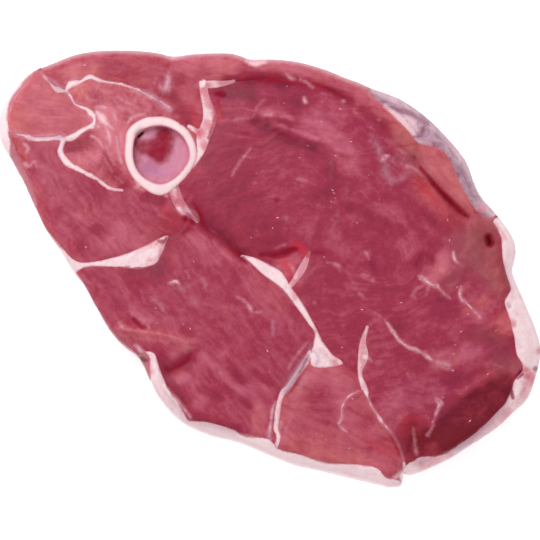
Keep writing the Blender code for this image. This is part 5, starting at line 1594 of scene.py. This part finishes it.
# The blood stain is pooled blood and painted shade in the creases beside it.
colour = stained(tree, colour, facts, ragged, (
    ("rim", 2.0 * MM, 1.4 * MM, 0.2 * MM, 0.5, "#D2AEBA"), ("flush", 0.0, 0.1, 0.9, 0.9, "#D06E80"),
    ("silvery", 0.9, 0.1, 1.2, 0.7, "#C8A4B8"), ("marbling", 1.1, 0.0, 1.5, 0.9, "#F4CCD2"),
    ("red", 0.5, 0.1, 1.0, 0.8, "#C4485A"), ("blood_and_shade", 0.8, 0.1, 1.2, 0.75, "#80305A"),
    ("meaty", 0.9, 0.3, 1.0, 0.92, meat_colour(tree, facts)),
))
finish_material(silver, colour, streaks, 0.4, 0.4)
for name in SILVER:
    pieces[name].data.materials.append(silver)

# %% [markdown]
# Sawn bone: the hard wall of the thigh bone, creamy pink because it was cut fresh and wet. The saw leaves
# it smooth, with fine pores, and blood tints its edges.

# %% Sawn bone
BONE_CLOUD, PORE = 4.0, 0.5

bone, tree, shader, place, facts = new_material("sawn_bone", ("border",), {"Roughness": 0.45, "IOR": 1.5})
clouds = add(tree, *NOISE, {"Vector": place, "Scale": per(BONE_CLOUD), "Detail": 3.0})
pores = add(tree, *NOISE, {"Vector": place, "Scale": per(PORE), "Detail": 2.0})
tinted = add(tree, *SOFT_RANGE, {
    "Value": facts["border"], "From Min": 0.0, "From Max": 0.7 * MM, "To Min": 0.65, "To Max": -0.3})
tinted = add(tree, "ShaderNodeMath", {"operation": "MULTIPLY_ADD", "use_clamp": True}, {
    0: clouds, 1: 0.8, 2: tinted})
colour = add(tree, *MIX, {FACTOR: tinted, COLOUR_A: "#FCDEE0", COLOUR_B: "#E2A0AE"}, COLOUR)
finish_material(bone, colour, pores, 0.35, 0.1)
pieces["bone"].data.materials.append(bone)

# %% [markdown]
# Marrow: soft, wet and fatty, part pink and part dark with blood. The dark part fills the upper middle of
# the ring, and the pale part lies along its lower right, so a few soft bands set where each one goes.

# %% Marrow
MARROW_LUMP = 3.0
MARROW_DARK = [
    (1.1, 1.8, [(-35, 40.5), (-31.8, 40.8, 2.5), (-32.6, 37, 2.5), (-33, 34.5, 0.5)]),
    (0.7, 1.4, [(-40.4, 38.9), (-38.6, 37.6, 1.8), (-36, 36.8, 2)]),
    (0.3, 2.5, [(-40.5, 34.5), (-36, 33, 1.5)]), (-0.9, 1.2, [(-37, 42, 1.2), (-36, 41.4)]),
    (-0.3, 0.8, [(-30.2, 39, 0.5)]), (-0.2, 0.8, [(-38, 34.4)]), (-0.6, 1.6, [(-26.6, 37), (-26.4, 32)]),
]
mesh = pieces["marrow"].data
ids = np.unique(triangles[owner == names.index("marrow")])
give_fact(mesh, "dark", banded(MARROW_DARK)[np.tile(ids, 2)])

marrow, tree, shader, place, facts = new_material("raw_marrow", ("silvery", "blood_and_shade", "dark"), {
    "Roughness": 0.42, "IOR": 1.42, "Specular IOR Level": 0.25})
lumps = add(tree, *NOISE, {
    "Vector": place, "Scale": per(MARROW_LUMP), "Detail": 4.0, "Roughness": 0.55,
    "Distortion": 0.6})
uneven = add(tree, *TIMES_PLUS, {0: lumps, 1: 0.9, 2: facts["dark"]})
red_share = add(tree, *SOFT_RANGE, {"Value": uneven, "From Min": 0.2, "From Max": 1.6})
colour = add(tree, *MIX, {FACTOR: red_share, COLOUR_A: "#D68CA6", COLOUR_B: "#960C30"}, COLOUR)
# The blood stain is blood and painted shade in the deep pit at the top of the marrow, nearly black.
colour = stained(tree, colour, facts, lumps, (
    ("silvery", 0.0, 0.0, 1.2, 0.7, "#B47CB4"), ("blood_and_shade", 0.0, 0.2, 1.4, 0.95, "#2E0410"),
))
finish_material(marrow, colour, lumps, 0.4, 0.15)
pieces["marrow"].data.materials.append(marrow)

# %% [markdown]
# The strongest threads of fat stand out of the meat a little, as cold fat does, and small flecks of it lie
# between the bundles. Both are made with geometry nodes: threads follow a path, and flecks are one small
# shape, repeated. First they need the top of the muscles as one surface, which tells the flecks where there
# is room, away from the rim, the fat, and the strokes of blood and painted shade, and which way the grain
# runs.

# %% The top of the muscles
ROOM_FROM, ROOM_TO = 1.5, 4.0
BLOOD_AND_SHADE_EDGE = 0.1


def grain_turn(name, points):
    """The angle of the fibres at plan points, in radians."""
    if name != "topside":
        return np.full(len(points), math.radians(GRAIN_ANGLE[name]))
    (x, y), squash, _, _ = RING_MIDDLES[0]
    aside, up = (plan[points] + PICTURE_MIDDLE - (x, y)).T
    return np.arctan2(squash ** 2 * aside, -up)


room = np.clip((np.minimum(from_rim, from_border) - ROOM_FROM) / (ROOM_TO - ROOM_FROM), 0, 1)
room[marks["blood_and_shade"] > BLOOD_AND_SHADE_EDGE] = 0.0
spots, faces, rooms, turns = [], [], [], []
for name in MUSCLES:
    own = triangles[owner == names.index(name)]
    points = np.unique(own)
    number = np.zeros(len(plan), int)
    number[points] = np.arange(len(points)) + sum(map(len, spots))
    faces += number[own].tolist()
    spots.append(np.column_stack([plan[points], upper_of(name)[points]]))
    rooms.append(room[points])
    turns.append(grain_turn(name, points))
spots = np.concatenate(spots) * MM
meat_top = bpy.data.meshes.new("meat_top")
meat_top.from_pydata(spots, [], faces)
give_fact(meat_top, "room", np.concatenate(rooms))
give_fact(meat_top, "turn", np.concatenate(turns))
meat_tree = BVHTree.FromPolygons(spots.tolist(), faces)
print(f"the muscles' top has {len(faces)} triangles")

# %% [markdown]
# Fat inside the lean looks less white than a layer of fat does: it is thin, and the red shines through it.

# %% Marbling fat
FAT_CLOUD = 1.8

marbling_fat, tree, shader, place, _ = new_material("marbling_fat", (), {
    "Roughness": 0.4, "Specular IOR Level": 0.3})
clouds = add(tree, *NOISE, {"Vector": place, "Scale": per(FAT_CLOUD), "Detail": 2.0})
clouds = add(tree, *RANGE, {"Value": clouds, "From Min": 0.35, "From Max": 0.65})
colour = add(tree, *MIX, {FACTOR: clouds, COLOUR_A: "#BC6078", COLOUR_B: "#E6B0BC"}, COLOUR)
tree.links.new(colour, shader.inputs["Base Color"])
print(f"{marbling_fat.name}: {len(tree.nodes)} nodes")

# %% [markdown]
# A node tree for geometry is built with the same helper. Its own inputs have names, so that a thread's
# step or a fleck's size can be changed at one place. The result is then made a plain mesh.

# %% Helpers for geometry nodes
NUMBER, WHOLE = "NodeSocketFloat", "NodeSocketInt"
FLOAT = {"data_type": "FLOAT"}


def blank_tree(name, inputs):
    """A geometry tree with a geometry input and output, and further inputs, each with its kind."""
    tree = bpy.data.node_groups.new(name, "GeometryNodeTree")
    for way in ("INPUT", "OUTPUT"):
        tree.interface.new_socket("Geometry", in_out=way, socket_type="NodeSocketGeometry")
    for label, kind in inputs.items():
        tree.interface.new_socket(label, in_out="INPUT", socket_type=kind)
    return tree, tree.nodes.new("NodeGroupInput").outputs


def finish_tree(tree, geometry, material):
    """Ends a geometry tree: smooth shading, real geometry, the material and the output."""
    geometry = add(tree, "GeometryNodeSetShadeSmooth", {}, {"Geometry": geometry})
    geometry = add(tree, "GeometryNodeRealizeInstances", {}, {"Geometry": geometry})
    geometry = add(tree, "GeometryNodeSetMaterial", {}, {"Geometry": geometry, "Material": material})
    tree.links.new(geometry, tree.nodes.new("NodeGroupOutput").inputs["Geometry"])


def grown_piece(name, mesh, tree, values):
    """The plain mesh object that a geometry tree makes of a mesh, with values for the tree's inputs."""
    grown = placed(name, mesh)
    modifier = grown.modifiers.new(name, "NODES")
    modifier.node_group = tree
    for socket in tree.interface.items_tree:
        if socket.name in values:
            modifier[socket.identifier] = values[socket.name]
    depsgraph = bpy.context.evaluated_depsgraph_get()
    plain = bpy.data.meshes.new_from_object(grown.evaluated_get(depsgraph))
    plain.name = name
    grown.modifiers.clear()
    grown.data = plain
    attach(grown, "root")
    print(f"{name}: {triangle_count(plain)} triangles")


# %% [markdown]
# A thread's path is one of the strongest strokes of the marbling, laid on the meat. Each point of it first
# moves as the plan did when the rim was let out, and then drops onto the muscles' top. Points that miss it,
# or lie near the rim, are left out.

# %% Paths for the threads of fat
THREAD_STRENGTH = 0.7
THREAD_STEP = 0.4
THREAD_SHARE = 0.75
THREAD_RISE = 0.02 * MM
ABOVE = 0.1
FEWEST = 4

spots, sides, widths = [], [], []
settle = tree_of(drawn)
for strength, route in MARBLING:
    if strength < THREAD_STRENGTH or len(route) < 3:
        continue
    kept = []
    for x, y, half in routed(route, THREAD_STEP):
        i = settle.find((x, y, 0.0))[1]
        px, py = (plan[i] - drawn[i] + (x, y)) * MM
        hit = meat_tree.ray_cast((px, py, ABOVE), (0, 0, -1))[0]
        if hit and from_rim[i] > ROOM_FROM and abs(hit.x - px) < MM:
            kept.append((px, py, hit.z + THREAD_RISE, half * THREAD_SHARE * MM))
    if len(kept) >= FEWEST:
        sides += [(len(spots) + k, len(spots) + k + 1) for k in range(len(kept) - 1)]
        spots += [k[:3] for k in kept]
        widths += [k[3] for k in kept]
paths = bpy.data.meshes.new("thread_paths")
paths.from_pydata(spots, sides, [])
give_fact(paths, "half_width", widths)
print(f"the paths of the threads have {len(spots)} points")

# %% [markdown]
# The thread itself is a flattened ring, drawn along the path with even steps. Noise lets it swell, thin out
# and almost break, as fat between bundles does. The width goes in as the scale of the ring.

# %% Threads of fat
SWELL = 1.4

tree, given = blank_tree("threads_of_fat", {
    "Step": NUMBER, "Sides": WHOLE, "Flatness": NUMBER, "Swelling": NUMBER, "Seed": NUMBER})
line = add(tree, "GeometryNodeMeshToCurve", {}, {"Mesh": given["Geometry"]})
line = add(tree, "GeometryNodeResampleCurve", {"mode": "LENGTH"}, {"Curve": line, "Length": given["Step"]})
line = add(tree, "GeometryNodeSetCurveNormal", {"mode": "Z_UP"}, {"Curve": line})
half = add(tree, "GeometryNodeInputNamedAttribute", FLOAT, {"Name": "half_width"})
place = add(tree, "GeometryNodeInputPosition")
swell = add(tree, *SEEDED_NOISE, {"Vector": place, "W": given["Seed"], "Scale": per(SWELL), "Detail": 1.0})
swell = add(tree, *MINUS, {0: swell, 1: 0.5})
swell = add(tree, *TIMES_PLUS, {0: swell, 1: given["Swelling"], 2: 0.8})
swell = add(tree, "ShaderNodeMath", {"operation": "MAXIMUM"}, {0: swell, 1: 0.25})
half = add(tree, *TIMES, {0: half, 1: swell})
ring = add(tree, "GeometryNodeCurvePrimitiveCircle", {}, {"Resolution": given["Sides"], "Radius": 1.0})
flat = add(tree, "ShaderNodeCombineXYZ", {}, {0: 1.0, 1: given["Flatness"], 2: 1.0})
ring = add(tree, "GeometryNodeTransform", {}, {"Geometry": ring, "Scale": flat})
body = add(tree, "GeometryNodeCurveToMesh", {}, {
    "Curve": line, "Profile Curve": ring, "Scale": half, "Fill Caps": True})
finish_tree(tree, body, marbling_fat)
grown_piece("threads_of_fat", paths, tree, {
    "Step": 0.3 * MM, "Sides": 8, "Flatness": 0.3, "Swelling": 3.4, "Seed": 3.0})

# %% [markdown]
# A fleck is a small ball, flattened, stretched along the grain and turned a little askew. The muscles' top
# is strewn with them at random, as densely as there is room.

# %% Flecks of fat
ASKEW, ASKEW_SEED = 0.5, 11

tree, given = blank_tree("flecks_of_fat", {
    "Density": NUMBER, "Smallest": NUMBER, "Largest": NUMBER, "Flatness": NUMBER, "Stretch": NUMBER,
    "Seed": WHOLE})
room = add(tree, "GeometryNodeInputNamedAttribute", FLOAT, {"Name": "room"})
turn = add(tree, "GeometryNodeInputNamedAttribute", FLOAT, {"Name": "turn"})
dense = add(tree, *TIMES, {0: room, 1: given["Density"]})
points = add(tree, "GeometryNodeDistributePointsOnFaces", {}, {
    "Mesh": given["Geometry"], "Density": dense, "Seed": given["Seed"]})
size = add(tree, "FunctionNodeRandomValue", FLOAT, {
    2: given["Smallest"], 3: given["Largest"], "Seed": given["Seed"]}, 1)
long = add(tree, *TIMES, {0: size, 1: given["Stretch"]})
thick = add(tree, *TIMES, {0: size, 1: given["Flatness"]})
scale = add(tree, "ShaderNodeCombineXYZ", {}, {0: long, 1: size, 2: thick})
askew = add(tree, "FunctionNodeRandomValue", FLOAT, {2: -ASKEW, 3: ASKEW, "Seed": ASKEW_SEED}, 1)
askew = add(tree, *PLUS, {0: askew, 1: turn})
turned = add(tree, "ShaderNodeCombineXYZ", {}, {2: askew})
ball = add(tree, "GeometryNodeMeshIcoSphere", {}, {"Radius": 1.0, "Subdivisions": 2})
body = add(tree, "GeometryNodeInstanceOnPoints", {}, {
    "Points": points, "Instance": ball, "Rotation": turned, "Scale": scale})
finish_tree(tree, body, marbling_fat)
grown_piece("flecks_of_fat", meat_top, tree, {
    "Density": 7000.0, "Smallest": 0.08 * MM, "Largest": 0.2 * MM, "Flatness": 0.3, "Stretch": 2.6,
    "Seed": 5})
